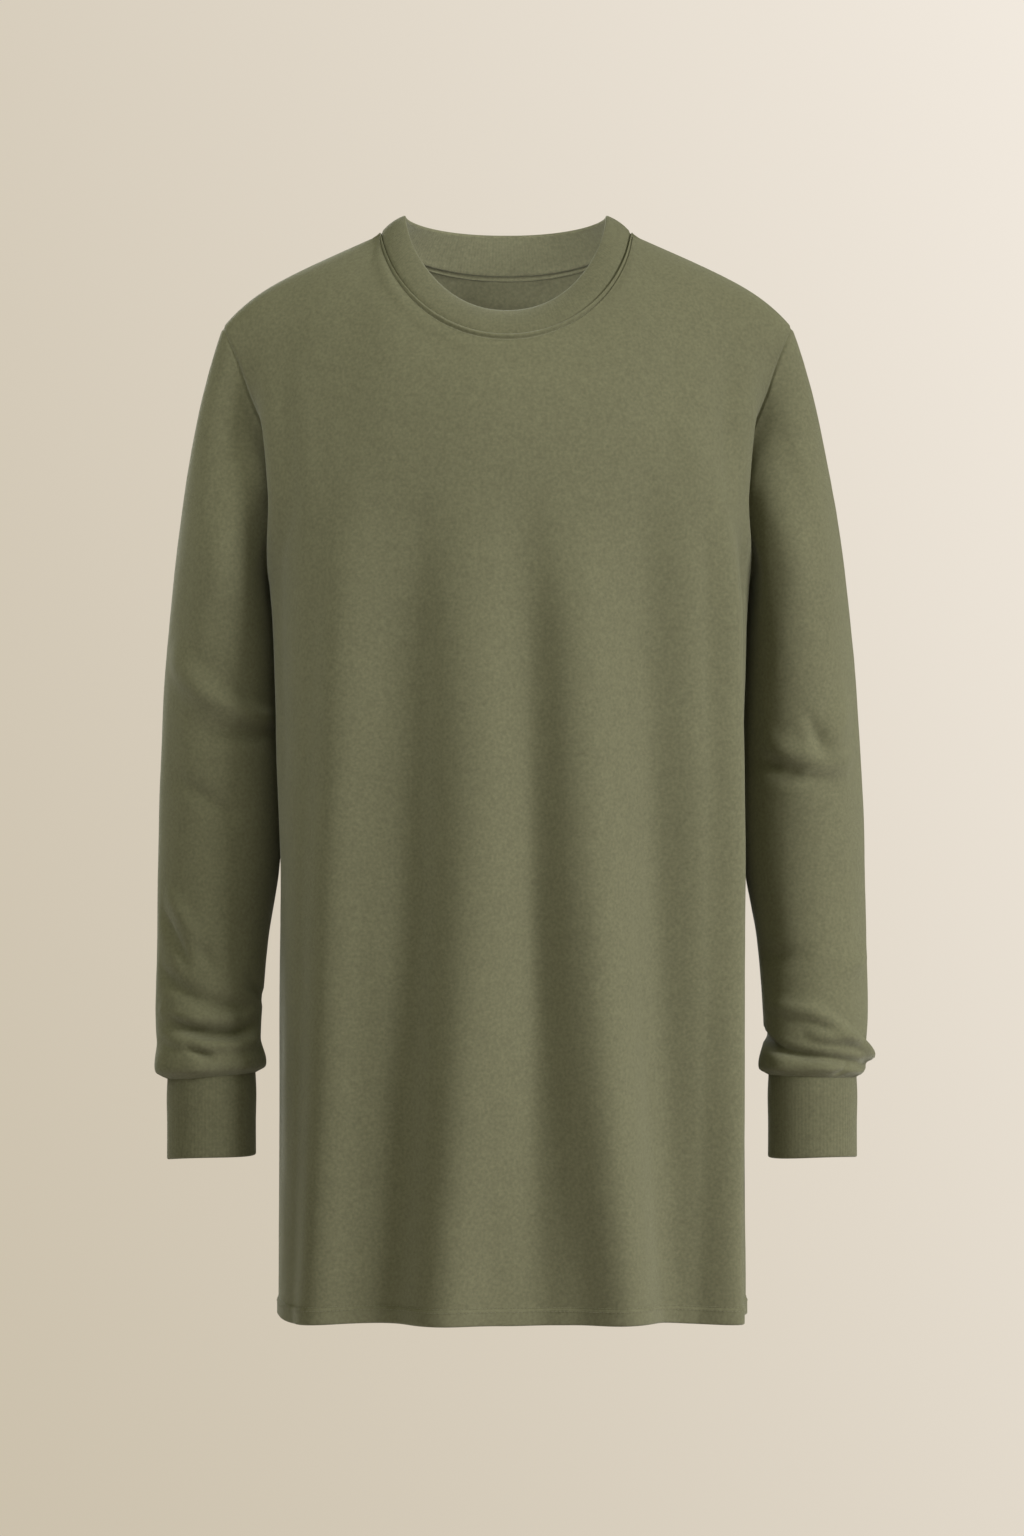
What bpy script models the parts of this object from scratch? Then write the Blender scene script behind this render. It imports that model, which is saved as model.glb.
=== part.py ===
"""Long-sleeve crew-neck t-shirt, filled out as when worn, with its sleeves hanging.

Metres, +Z up.  The chest faces -Y and the wearer's left is +X.  The origin is the middle of the
neck, level with the high points of the shoulders.  "Drop" is the distance below that level.
Every piece is a thin wall of cloth: an open sheet of points, thickened by Solidify.
"""

import math

import bpy
import numpy as np

# ---------------------------------------------------------------- driving dimensions
CLOTH = 0.0012              # wall of the jersey
HEM_CLOTH = 0.0022          # wall of the turned hem
RIB = 0.0020                # wall of the collar and the cuffs
SEAM_TRIM = 0.0002          # each piece stops at least this far short of a seam line
SEAM_TURN = 35.0            # degrees that the cloth may turn across most seams
SHOULDER_TURN = 60.0        # degrees that it may turn across a shoulder seam
SHARPEST_TURN = 155.0       # degrees that it may turn across an armhole
LARGEST_TRIM = 0.6          # share of its first row of cells that a trim may take off

NECK_HALF_WIDTH = 0.0968    # collar seam, at the shoulder
NECK_FRONT = (0.097, 0.0844)    # collar seam at the centre front: forward, drop
NECK_BACK = (0.075, 0.0260)     # collar seam at the centre back: backward, drop
NECK_SHARE = 0.42           # share of a panel's half top edge that is neckline
COLLAR_HALF_WIDTH = 0.0790  # free edge of the collar, at the shoulder
COLLAR_RISE = 0.0133        # free edge above the shoulder point
COLLAR_FRONT = (0.075, 0.0791)  # free edge at the centre front: forward, drop from its sides
COLLAR_BACK = (0.062, 0.0105)   # free edge at the centre back
COLLAR_BULGE = 0.0015       # how far the band rounds outwards between its edges
NECK_WIDTH_POWER = 0.95     # roundness of the collar seam seen from above, 1 is an ellipse
EDGE_WIDTH_POWER = 0.92     # the same for the free edge
NECK_DIP_POWER = 1.25       # how the neck line dips from its sides to its centres

TIP_HALF_WIDTH = 0.2215     # shoulder tip, where sleeve and shoulder seam meet
SHOULDER_SLOPE = 0.0560     # straight part of the shoulder's fall
SHOULDER_ROUND = 0.0175     # extra fall at the rounded tip
SHOULDER_ROUND_POWER = 5.5  # how late along the shoulder that fall comes
UNDERARM_DROP = 0.275
HEM_DROP = 0.844
HEM_RISE_FRONT = 0.003      # the hem rides up this much at the centre front
HEM_DEPTH = 0.012           # turned hem
HEM_STEP = 0.002            # height over which the wall thickens into the hem
SQUARENESS = 2.4            # exponent of the body's cross-section, 2 is an ellipse
CUFF_TOP_DROP = 0.6560
CUFF_END_DROP = 0.7180

FRONT = -1.0
BACK = 1.0

# Body below the underarm: drop, half width, depth in front, depth behind.
TORSO = np.array([
    (0.275, 0.1810, 0.1260, 0.1120),
    (0.400, 0.1810, 0.1240, 0.1040),
    (0.550, 0.1808, 0.1190, 0.1040),
    (0.700, 0.1808, 0.1130, 0.1110),
    (0.844, 0.1815, 0.1080, 0.1130),
])

# How each lengthwise line leaves the top edge of a panel, by its share of the half panel:
# share, outward, away from the mid plane, down, length of the pull.
LEAVE_FRONT = np.array([
    (0.00, 0.000, 0.62, 0.78, 0.070),
    (0.21, 0.280, 0.72, 0.62, 0.074),
    (0.30, 0.300, 0.80, 0.52, 0.079),
    (0.42, 0.250, 0.88, 0.38, 0.085),
    (0.60, 0.130, 0.95, 0.26, 0.073),
    (0.80, 0.050, 0.98, 0.14, 0.062),
    (1.00, 0.000, 1.00, 0.00, 0.052),
])
LEAVE_BACK = np.array([
    (0.00, 0.000, 0.55, 0.83, 0.055),
    (0.21, 0.220, 0.75, 0.60, 0.060),
    (0.30, 0.250, 0.82, 0.50, 0.066),
    (0.42, 0.230, 0.90, 0.34, 0.074),
    (0.60, 0.120, 0.96, 0.22, 0.070),
    (0.80, 0.050, 0.98, 0.12, 0.064),
    (1.00, 0.000, 1.00, 0.00, 0.055),
])
CORNER_SOFTENING = 0.12     # share over which the pull evens out the corner at the neck's side
CORNER_REACH = 0.40         # share from that corner at which the evening out ends
ARRIVE_LIFT = 0.105         # length of the upright pull at underarm level
ARRIVE_SPREAD = 0.014       # outward lean of that pull at the armhole
SLOPE_STEP = 0.005          # step over which the body's slope at that level is taken

# Armhole scoop: deepest share taken off the half panel, and how late it starts.
SCOOP_FRONT = (0.180, 2.5)
SCOOP_BACK = (0.140, 1.7)

# Lengthwise drape folds: share of the half panel at chest, waist and hem, half width (share),
# height at chest, height at hem, drop where the fold starts.
FRONT_FOLDS = [
    (-0.40, -0.51, -0.58, 0.18, 0.0030, 0.0065, 0.150),
    (-0.08, -0.10, -0.14, 0.19, 0.0045, 0.0090, 0.150),
    (0.12, 0.18, 0.26, 0.18, 0.0065, 0.0085, 0.130),
    (0.55, 0.66, 0.65, 0.18, 0.0080, 0.0045, 0.100),
    (-0.88, -0.87, -0.85, 0.10, 0.0000, 0.0040, 0.400),
]
BACK_FOLDS = [
    (-0.55, -0.50, -0.56, 0.20, 0.0040, 0.0070, 0.160),
    (-0.12, -0.16, -0.20, 0.20, 0.0060, 0.0090, 0.180),
    (0.26, 0.22, 0.20, 0.18, 0.0050, 0.0085, 0.140),
    (0.62, 0.60, 0.56, 0.18, 0.0060, 0.0060, 0.120),
]
# Fold that stands beside each armhole: share inside the edge, half width (share), height,
# drop where it starts, drop where it is highest, drop where it ends.
ARMHOLE_FOLD = {FRONT: (0.120, 0.13, 0.0085, 0.080, 0.155, 0.620),
                BACK: (0.150, 0.14, 0.0075, 0.090, 0.170, 0.400)}
ARMHOLE_TROUGH = {FRONT: (0.0, 0.07, -0.0040, 0.110, 0.180, 0.275),
                  BACK: (0.0, 0.07, -0.0030, 0.110, 0.180, 0.275)}
# Trough down each side seam, where the hanging sleeve lies against the body.
SIDE_TROUGH = {FRONT: (0.0, 0.19, -0.0080, 0.262, 0.315, 0.620),
               BACK: (0.0, 0.30, -0.0080, 0.262, 0.315, 0.620)}

# Sleeve rings, shoulder to cuff: underarm line (half width, drop), outer line (half width, drop),
# middle behind the mid plane, half depth.
SLEEVE = np.array([
    (0.1810, 0.2750, 0.2215, 0.0735, 0.000, 0.050),
    (0.1845, 0.2742, 0.2300, 0.0980, 0.001, 0.051),
    (0.1860, 0.2785, 0.2410, 0.1410, 0.003, 0.055),
    (0.1852, 0.2880, 0.2512, 0.1960, 0.006, 0.061),
    (0.1828, 0.3060, 0.2594, 0.2500, 0.010, 0.065),
    (0.1800, 0.3320, 0.2664, 0.3050, 0.013, 0.065),
    (0.1790, 0.3700, 0.2711, 0.3600, 0.014, 0.061),
    (0.1788, 0.4400, 0.2742, 0.4400, 0.013, 0.055),
    (0.1832, 0.4960, 0.2752, 0.5000, 0.008, 0.049),
    (0.1912, 0.5500, 0.2760, 0.5550, 0.000, 0.044),
    (0.1955, 0.6050, 0.2765, 0.6080, -0.010, 0.039),
    (0.1965, 0.6350, 0.2742, 0.6350, -0.016, 0.036),
    (0.2000, 0.6555, 0.2700, 0.6555, -0.019, 0.0325),
])
SLEEVE_BLEND = 4.0          # rings over which the armhole's own shape fades out

# Sleeve folds: turn round the sleeve (degrees: 0 underarm, 90 front, 180 outside, 270 behind)
# and drop at the start, the same at the end, half width, height.
LEFT_SLEEVE_FOLDS = [
    (20, 0.385, 120, 0.410, 0.024, 0.0050),
    (200, 0.400, 330, 0.380, 0.026, 0.0050),
    (30, 0.440, 110, 0.425, 0.020, -0.0035),
    (60, 0.120, 70, 0.300, 0.022, 0.0040),
    (40, 0.600, 150, 0.635, 0.020, 0.0045),
    (210, 0.590, 320, 0.625, 0.022, 0.0045),
    (120, 0.520, 190, 0.560, 0.024, 0.0040),
]
RIGHT_SLEEVE_FOLDS = [
    (20, 0.365, 130, 0.375, 0.024, 0.0045),
    (210, 0.385, 320, 0.370, 0.026, 0.0050),
    (40, 0.410, 120, 0.400, 0.020, -0.0030),
    (70, 0.110, 80, 0.290, 0.022, 0.0035),
    (30, 0.570, 120, 0.610, 0.020, 0.0040),
    (200, 0.580, 300, 0.610, 0.022, 0.0045),
    (110, 0.500, 180, 0.530, 0.024, 0.0035),
]

# Cuff rings: share of the height, half width, half depth.
CUFF_CENTRE = (0.2335, -0.0195)     # half width and distance from the mid plane of its middle
CUFF = np.array([
    (0.0, 0.0338, 0.0310),
    (0.5, 0.0332, 0.0302),
    (1.0, 0.0334, 0.0304),
])

# The whole garment hangs a little to one side: drop, sideways shift.
LEAN = np.array([
    (-0.02, -0.0030),
    (0.085, -0.0015),
    (0.275, 0.0000),
    (0.450, 0.0015),
    (0.850, 0.0020),
])

# How finely the sheets are divided.
NECK_COLUMNS = {FRONT: 9, BACK: 7}      # from a panel's centre to the shoulder point
SHOULDER_COLUMNS = 7        # from there to the armhole, the same on both panels
YOKE_ROWS = 12
BODY_ROWS = 15
HEM_ROWS = 2
SLEEVE_RINGS = 24
COLLAR_ROWS = 3
CUFF_ROWS = 3
ROW_CROWDING = 1.7          # yoke rows crowd towards the underarm
FOLD_FADE = 0.10            # length over which a drape fold starts
SLEEVE_GIRTH = 0.300        # mean girth, to measure fold widths round the sleeve
FOLD_CHEST = 0.20           # drops at which the drape folds' lines are given, with the hem
FOLD_WAIST = 0.55

# Finish: sRGB colour of the cloth in even light, and its roughness.
OLIVE = (0.475, 0.463, 0.365)
OLIVE_RIB = (0.455, 0.443, 0.345)
CLOTH_ROUGHNESS = 0.90
SRGB_GAMMA = 2.2


# ---------------------------------------------------------------- curves
def smooth(table, column, at):
    """Smooth curve through one column of a table, whose first column is the station."""
    stations = table[:, 0]
    values = table[:, column]
    slopes = np.gradient(values, stations)
    at = np.clip(at, stations[0], stations[-1])
    index = np.clip(np.searchsorted(stations, at) - 1, 0, len(stations) - 2)
    span = stations[index + 1] - stations[index]
    share = (at - stations[index]) / span
    rest = 1.0 - share
    start = values[index] * (1.0 + 2.0 * share) * rest ** 2
    end = values[index + 1] * (3.0 - 2.0 * share) * share ** 2
    leaving = slopes[index] * span * share * rest ** 2
    arriving = slopes[index + 1] * span * rest * share ** 2
    return start + end + leaving - arriving


def ease(share):
    """Smooth step from 0 to 1."""
    share = np.clip(share, 0.0, 1.0)
    return share * share * (3.0 - 2.0 * share)


def bump(distance, half_width):
    """Rounded ridge profile, 1 at its crest and 0 at its half width."""
    share = np.clip(np.abs(distance) / half_width, 0.0, 1.0)
    return 0.5 + 0.5 * np.cos(math.pi * share)


def point(x, y, z):
    """Stack three broadcast coordinates into points."""
    return np.stack(np.broadcast_arrays(x, y, z), axis=-1)


def neck_ring(turn, half_width, front, back, rise, width_power):
    """Neck edge by its turn: -90 degrees centre front, 0 at the shoulder, 90 centre back."""
    sine = np.sin(turn)
    forward = np.clip(-sine, 0.0, 1.0)
    backward = np.clip(sine, 0.0, 1.0)
    x = half_width * np.abs(np.cos(turn)) ** width_power
    y = back[0] * backward - front[0] * forward
    z = rise - front[1] * forward ** NECK_DIP_POWER - back[1] * backward ** NECK_DIP_POWER
    return x, y, z


def collar_seam(turn):
    return neck_ring(turn, NECK_HALF_WIDTH, NECK_FRONT, NECK_BACK, 0.0, NECK_WIDTH_POWER)


def collar_edge(turn):
    return neck_ring(turn, COLLAR_HALF_WIDTH, COLLAR_FRONT, COLLAR_BACK, COLLAR_RISE,
                     EDGE_WIDTH_POWER)


# ---------------------------------------------------------------- body panels
def top_edge(share, side):
    """Neckline and shoulder seam of a panel, at a share of its half (0 centre, 1 tip)."""
    half = np.abs(share)
    turn = side * np.clip(1.0 - half / NECK_SHARE, 0.0, 1.0) * math.pi / 2
    neck_x, neck_y, neck_z = collar_seam(turn)
    along = np.clip((half - NECK_SHARE) / (1.0 - NECK_SHARE), 0.0, 1.0)
    x = np.where(half < NECK_SHARE, neck_x,
                 NECK_HALF_WIDTH + along * (TIP_HALF_WIDTH - NECK_HALF_WIDTH))
    z = np.where(half < NECK_SHARE, neck_z,
                 -SHOULDER_SLOPE * along - SHOULDER_ROUND * along ** SHOULDER_ROUND_POWER)
    return point(np.sign(share) * x, neck_y, z)


def evened_edge(share, side):
    """The top edge with its corner at the neck's side evened out."""
    width = CORNER_SOFTENING * bump(np.abs(share) - NECK_SHARE, CORNER_REACH)
    steps = np.linspace(-1.0, 1.0, 9)
    weights = bump(steps, 1.25)
    total = sum(weight * top_edge(share + step * width, side)
                for step, weight in zip(steps, weights))
    return total / np.sum(weights)


def torso(share, drop, side):
    """Body cross-section below the underarm."""
    angle = share * math.pi / 2
    power = 2.0 / SQUARENESS
    depth = smooth(TORSO, 2 if side == FRONT else 3, drop)
    x = smooth(TORSO, 1, drop) * np.sign(share) * np.abs(np.sin(angle)) ** power
    y = side * depth * np.abs(np.cos(angle)) ** power
    return point(x, y, -drop)


def yoke(share, fall, side):
    """Body above the underarm: lengthwise curves from the top edge to the underarm level."""
    leave = LEAVE_FRONT if side == FRONT else LEAVE_BACK
    half = np.abs(share)
    pull = smooth(leave, 4, half)
    towards = point(np.sign(share) * smooth(leave, 1, half), side * smooth(leave, 2, half),
                    -smooth(leave, 3, half))
    start = top_edge(share, side)
    end = torso(share, np.full_like(share, UNDERARM_DROP), side)
    first = evened_edge(share, side) + towards * pull[..., None]
    spread = ARRIVE_SPREAD * np.sign(share) * half ** 4
    slope = (torso(share, np.full_like(share, UNDERARM_DROP + SLOPE_STEP), side) - end) / SLOPE_STEP
    second = end - slope * ARRIVE_LIFT + point(spread, 0.0, 0.0)
    fall = fall[..., None]
    rest = 1.0 - fall
    return (start * rest ** 3 + first * 3 * rest ** 2 * fall
            + second * 3 * rest * fall ** 2 + end * fall ** 3)


def reach(fall, side):
    """Share of the half panel that the armhole leaves, by the fall from tip to underarm."""
    scoop, lateness = SCOOP_FRONT if side == FRONT else SCOOP_BACK
    deepest = lateness / (lateness + 0.5)
    largest = deepest ** lateness * (1.0 - deepest) ** 0.5
    return 1.0 - scoop * fall ** lateness * (1.0 - fall) ** 0.5 / largest


def yoke_falls(rows):
    """Falls of the yoke's rows, from the top edge (0) to the underarm (1)."""
    even = np.linspace(0.0, 1.0, rows + 1)
    return 1.0 - (1.0 - even) ** ROW_CROWDING


def body_drops():
    """Drops of the rows below the underarm, ending in the turned hem."""
    plain = np.linspace(UNDERARM_DROP, HEM_DROP - HEM_DEPTH - HEM_STEP, BODY_ROWS + 1)[1:]
    return np.concatenate([plain, [HEM_DROP - HEM_DEPTH, HEM_DROP]])


def normals(grid, closed):
    """Unit normals of a grid of points, whose rows run down and columns run to the left side."""
    if closed:
        wrapped = np.concatenate([grid[:, -1:], grid, grid[:, :1]], axis=1)
        across = np.gradient(wrapped, axis=1)[:, 1:-1]
    else:
        across = np.gradient(grid, axis=1)
    down = np.gradient(grid, axis=0)
    normal = np.cross(down, across)
    return normal / np.linalg.norm(normal, axis=-1, keepdims=True)


def drape(share, drop, folds):
    """Height of the lengthwise folds over the plain surface."""
    height = np.zeros_like(share)
    for at_chest, at_waist, at_hem, half_width, chest_height, hem_height, start in folds:
        line = np.array([(FOLD_CHEST, at_chest), (FOLD_WAIST, at_waist), (HEM_DROP, at_hem)])
        size = np.array([(FOLD_CHEST, chest_height), (HEM_DROP, hem_height)])
        centre = smooth(line, 1, drop)
        crest = np.interp(drop, size[:, 0], size[:, 1]) * ease((drop - start) / FOLD_FADE)
        height += crest * bump(share - centre, half_width)
    return height


def edge_fold(share, drop, limit, fold):
    """Height of a fold that follows a panel's side edge, on both sides."""
    inside, half_width, crest, start, highest, end = fold
    rise = ease((drop - start) / (highest - start)) * ease((end - drop) / (end - highest))
    return crest * rise * bump(limit - inside - np.abs(share), half_width)


def panel_columns(side):
    """Shares of a panel's columns, with one at each end of the neckline."""
    neck = np.linspace(0.0, NECK_SHARE, NECK_COLUMNS[side] + 1)
    shoulder = np.linspace(NECK_SHARE, 1.0, SHOULDER_COLUMNS + 1)
    half = np.concatenate([neck, shoulder[1:]])
    return np.concatenate([-half[:0:-1], half])


def panel_surface(side, folds):
    """Grid of points of a body panel, with its folds."""
    across = panel_columns(side)
    falls = yoke_falls(YOKE_ROWS)
    limits = reach(falls, side)
    yoke_share = limits[:, None] * across[None, :]
    upper = yoke(yoke_share, np.broadcast_to(falls[:, None], yoke_share.shape), side)
    drops = body_drops()
    lower_share = np.broadcast_to(across[None, :], (len(drops), len(across)))
    lower = torso(lower_share, np.broadcast_to(drops[:, None], lower_share.shape), side)
    if side == FRONT:
        rise = HEM_RISE_FRONT * np.cos(lower_share * math.pi / 2) ** 2
        lower[..., 2] += rise * ease((drops[:, None] - UNDERARM_DROP) / (HEM_DROP - UNDERARM_DROP))
    grid = np.concatenate([upper, lower])
    share = np.concatenate([yoke_share, lower_share])
    limit = np.concatenate([limits, np.ones(len(drops))])[:, None]
    drop = -grid[..., 2]
    height = drape(share, drop, folds)
    for fold in (ARMHOLE_FOLD, ARMHOLE_TROUGH, SIDE_TROUGH):
        height += edge_fold(share, drop, limit, fold[side])
    outward = normals(grid, False) * -side
    # Both panels face straight sideways where they meet at the side seams.
    outward[YOKE_ROWS:, (0, -1), 1] = 0.0
    return grid + outward * height[..., None]


# ---------------------------------------------------------------- sleeves, cuffs and collar
def armhole(front_edge, back_edge):
    """Armhole ring: from the underarm up the front edge to the tip, and down the back edge."""
    return np.concatenate([front_edge[YOKE_ROWS::-1], back_edge[1:YOKE_ROWS]])


def panel_edges(amounts, rows):
    """Trims round an armhole, dealt out to the side edges of the two panels."""
    side_seam = np.full(rows - YOKE_ROWS - 1, stop_short(SEAM_TURN))
    front = amounts[YOKE_ROWS::-1]
    back = np.append(amounts[YOKE_ROWS:], amounts[0])
    return {FRONT: np.concatenate([front, side_seam]), BACK: np.concatenate([back, side_seam])}


def sleeve_surface(ring, folds):
    """Grid of points of the left sleeve, from its armhole ring to the cuff seam."""
    stations = np.linspace(0.0, len(SLEEVE) - 1.0, SLEEVE_RINGS + 1)
    table = np.column_stack([np.arange(len(SLEEVE)), SLEEVE])
    inner_x, inner_drop, outer_x, outer_drop, middle, depth = (
        smooth(table, column, stations)[:, None] for column in range(1, 7))
    turn = np.linspace(0.0, 2 * math.pi, len(ring), endpoint=False)[None, :]
    out = 0.5 - 0.5 * np.cos(turn)
    grid = point(inner_x + (outer_x - inner_x) * out,
                 middle - depth * np.sin(turn),
                 -(inner_drop + (outer_drop - inner_drop) * out))
    own_shape = 1.0 - ease(stations / SLEEVE_BLEND)
    grid = grid + own_shape[:, None, None] * (ring - grid[0])[None]
    drop = -grid[..., 2]
    height = np.zeros_like(drop)
    girth = SLEEVE_GIRTH / (2 * math.pi)
    for start_turn, start_drop, end_turn, end_drop, half_width, crest in folds:
        start = np.array((math.radians(start_turn) * girth, start_drop))
        run = np.array((math.radians(end_turn) * girth, end_drop)) - start
        length = np.hypot(*run)
        along = ((turn * girth - start[0]) * run[0] + (drop - start[1]) * run[1]) / length ** 2
        aside = ((turn * girth - start[0]) * run[1] - (drop - start[1]) * run[0]) / length
        height += crest * bump(aside, half_width) * bump(2 * along - 1, 1.0)
    return grid + normals(grid, True) * height[..., None]


def cuff_surface(steps):
    """Grid of points of the left cuff."""
    shares = np.linspace(0.0, 1.0, CUFF_ROWS + 1)
    turn = np.linspace(0.0, 2 * math.pi, steps, endpoint=False)[None, :]
    half_width = smooth(CUFF, 1, shares)[:, None]
    half_depth = smooth(CUFF, 2, shares)[:, None]
    drop = CUFF_TOP_DROP + shares[:, None] * (CUFF_END_DROP - CUFF_TOP_DROP)
    return point(CUFF_CENTRE[0] - half_width * np.cos(turn),
                 CUFF_CENTRE[1] - half_depth * np.sin(turn), -drop)


def collar_surface():
    """Grid of points of the collar band, from its free edge down to its seam."""
    front_turns = np.linspace(-math.pi / 2, 0.0, NECK_COLUMNS[FRONT] + 1)
    back_turns = np.linspace(0.0, math.pi / 2, NECK_COLUMNS[BACK] + 1)
    half = np.concatenate([front_turns, back_turns[1:]])
    # The ring runs centre back, wearer's right, centre front, wearer's left.
    turn = np.concatenate([half[::-1], half[1:-1]])
    side = np.concatenate([-np.ones(len(half)), np.ones(len(half) - 2)])
    top = point(*collar_edge(turn))
    seam = point(*collar_seam(turn))
    for ring in (top, seam):
        ring[:, 0] *= side
    shares = np.linspace(0.0, 1.0, COLLAR_ROWS + 1)[:, None, None]
    grid = top[None] * (1.0 - shares) + seam[None] * shares
    bulge = COLLAR_BULGE * 4.0 * shares[..., 0] * (1.0 - shares[..., 0])
    return grid + normals(grid, True) * bulge[..., None]


# ---------------------------------------------------------------- pieces
def unit(vectors):
    """The same directions at length 1."""
    return vectors / np.linalg.norm(vectors, axis=-1, keepdims=True)


def inward(edge, inner, closed=False):
    """Directions that leave a sheet's edge squarely, within the sheet."""
    if closed:
        tangent = unit(np.roll(edge, -1, axis=0) - np.roll(edge, 1, axis=0))
    else:
        tangent = unit(np.gradient(edge, axis=0))
    run = inner - edge
    return unit(run - tangent * np.sum(run * tangent, axis=-1, keepdims=True))


def stop_short(turn, thickness=CLOTH):
    """How far a sheet stops short of a seam where the cloth turns by this angle (degrees)."""
    return SEAM_TRIM + thickness / 2 * np.tan(np.radians(np.clip(turn, 0.0, SHARPEST_TURN)) / 2)


def armhole_trim(ring, sleeve_ring, panel_ring):
    """How far panels and sleeve stop short of the armhole, point by point round it."""
    sleeve_way = inward(ring, sleeve_ring, closed=True)
    panel_way = inward(ring, panel_ring, closed=True)
    turn = 180.0 - np.degrees(np.arccos(np.clip(np.sum(sleeve_way * panel_way, axis=-1), -1, 1)))
    room = np.minimum(np.linalg.norm(sleeve_ring - ring, axis=-1),
                      np.linalg.norm(panel_ring - ring, axis=-1))
    return np.minimum(stop_short(turn), LARGEST_TRIM * room)


def trimmed(grid, closed=False, top=None, bottom=None, left=None, right=None):
    """Pull the named edges of a sheet back from their seam lines, each by its own amounts."""
    result = grid.copy()
    if top is not None:
        result[0] += inward(grid[0], grid[1], closed) * np.reshape(top, (-1, 1))
    if bottom is not None:
        result[-1] += inward(grid[-1], grid[-2], closed) * np.reshape(bottom, (-1, 1))
    if left is not None:
        result[:, 0] += inward(grid[:, 0], grid[:, 1]) * np.reshape(left, (-1, 1))
    if right is not None:
        result[:, -1] += inward(grid[:, -1], grid[:, -2]) * np.reshape(right, (-1, 1))
    return result


def leaning(grid):
    """The garment's slight sideways hang."""
    grid = grid.copy()
    grid[..., 0] += smooth(LEAN, 1, -grid[..., 2])
    return grid


def mirrored(grid):
    """The same sheet for the wearer's right, with its columns still running the same way."""
    return grid[:, ::-1] * np.array((-1.0, 1.0, 1.0))


def finish(name, colour):
    """Matt cloth in one colour, given in sRGB."""
    material = bpy.data.materials.new(name)
    material.use_nodes = True
    shader = material.node_tree.nodes["Principled BSDF"]
    linear = [channel ** SRGB_GAMMA for channel in colour]
    shader.inputs["Base Color"].default_value = (*linear, 1.0)
    shader.inputs["Roughness"].default_value = CLOTH_ROUGHNESS
    shader.inputs["Metallic"].default_value = 0.0
    return material


def sheet(name, grid, closed, outward, thickness, colour, collection, hem_rows=0):
    """Loft a sheet through a grid of points and thicken it into a wall of cloth."""
    rows, columns = grid.shape[:2]
    cells = columns if closed else columns - 1
    faces = []
    for row in range(rows - 1):
        for column in range(cells):
            beside = (column + 1) % columns
            face = (row * columns + column, (row + 1) * columns + column,
                    (row + 1) * columns + beside, row * columns + beside)
            faces.append(face if outward else face[::-1])
    mesh = bpy.data.meshes.new(name)
    mesh.from_pydata(leaning(grid).reshape(-1, 3).tolist(), [], faces)
    mesh.shade_smooth()
    mesh.materials.append(finish(name + "_cloth", colour))
    piece = bpy.data.objects.new(name, mesh)
    collection.objects.link(piece)
    wall = piece.modifiers.new("wall", "SOLIDIFY")
    wall.offset = 0.0
    wall.thickness = thickness
    if hem_rows:
        hem = piece.vertex_groups.new(name="hem")
        hem.add(list(range((rows - hem_rows) * columns, rows * columns)), 1.0, "REPLACE")
        wall.thickness = HEM_CLOTH
        wall.vertex_group = hem.name
        wall.thickness_vertex_group = thickness / HEM_CLOTH
    return piece


def build():
    for leftover in list(bpy.data.objects):
        bpy.data.objects.remove(leftover)
    garment = bpy.data.collections.new("long_sleeve_t_shirt")
    bpy.context.scene.collection.children.link(garment)

    front = panel_surface(FRONT, FRONT_FOLDS)
    back = panel_surface(BACK, BACK_FOLDS)
    flip = np.array((-1.0, 1.0, 1.0))
    edges = {}
    for name, column, beside, flipped, folds in (
            ("left", -1, -2, 1.0, LEFT_SLEEVE_FOLDS), ("right", 0, 1, flip, RIGHT_SLEEVE_FOLDS)):
        ring = armhole(front[:, column], back[:, column]) * flipped
        panel_ring = armhole(front[:, beside], back[:, beside]) * flipped
        sleeve = sleeve_surface(ring, folds)
        amounts = armhole_trim(ring, sleeve[1], panel_ring)
        edges[name] = panel_edges(amounts, len(front))
        sleeve = trimmed(sleeve, closed=True, top=amounts, bottom=stop_short(SEAM_TURN))
        cuff = cuff_surface(len(ring))
        if name == "right":
            sleeve = mirrored(sleeve)
            cuff = mirrored(cuff)
        sheet("sleeve_" + name, sleeve, True, True, CLOTH, OLIVE, garment)
        sheet("cuff_" + name, cuff, True, True, RIB, OLIVE_RIB, garment)

    for name, panel, side in (("front", front, FRONT), ("back", back, BACK)):
        on_neckline = np.abs(panel_columns(side)) < NECK_SHARE
        panel = trimmed(panel, top=stop_short(np.where(on_neckline, SEAM_TURN, SHOULDER_TURN)),
                        left=edges["right"][side], right=edges["left"][side])
        sheet(name, panel, False, side == FRONT, CLOTH, OLIVE, garment, hem_rows=HEM_ROWS)
    collar = trimmed(collar_surface(), closed=True, bottom=stop_short(SEAM_TURN, RIB))
    sheet("collar", collar, True, True, RIB, OLIVE_RIB, garment)


build()
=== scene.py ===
"""A long-sleeve crew-neck t-shirt in olive cotton jersey, filled out, with its sleeves hanging.

Metres, +Z up.  The chest faces -Y and the wearer's left is +X.  "Drop" is the distance below the
high points of the shoulders.  Each piece is a thin shell of cloth on the form of its solid, with
the folds, seams, stitches and knit that the solid leaves out.
"""

import math

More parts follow.
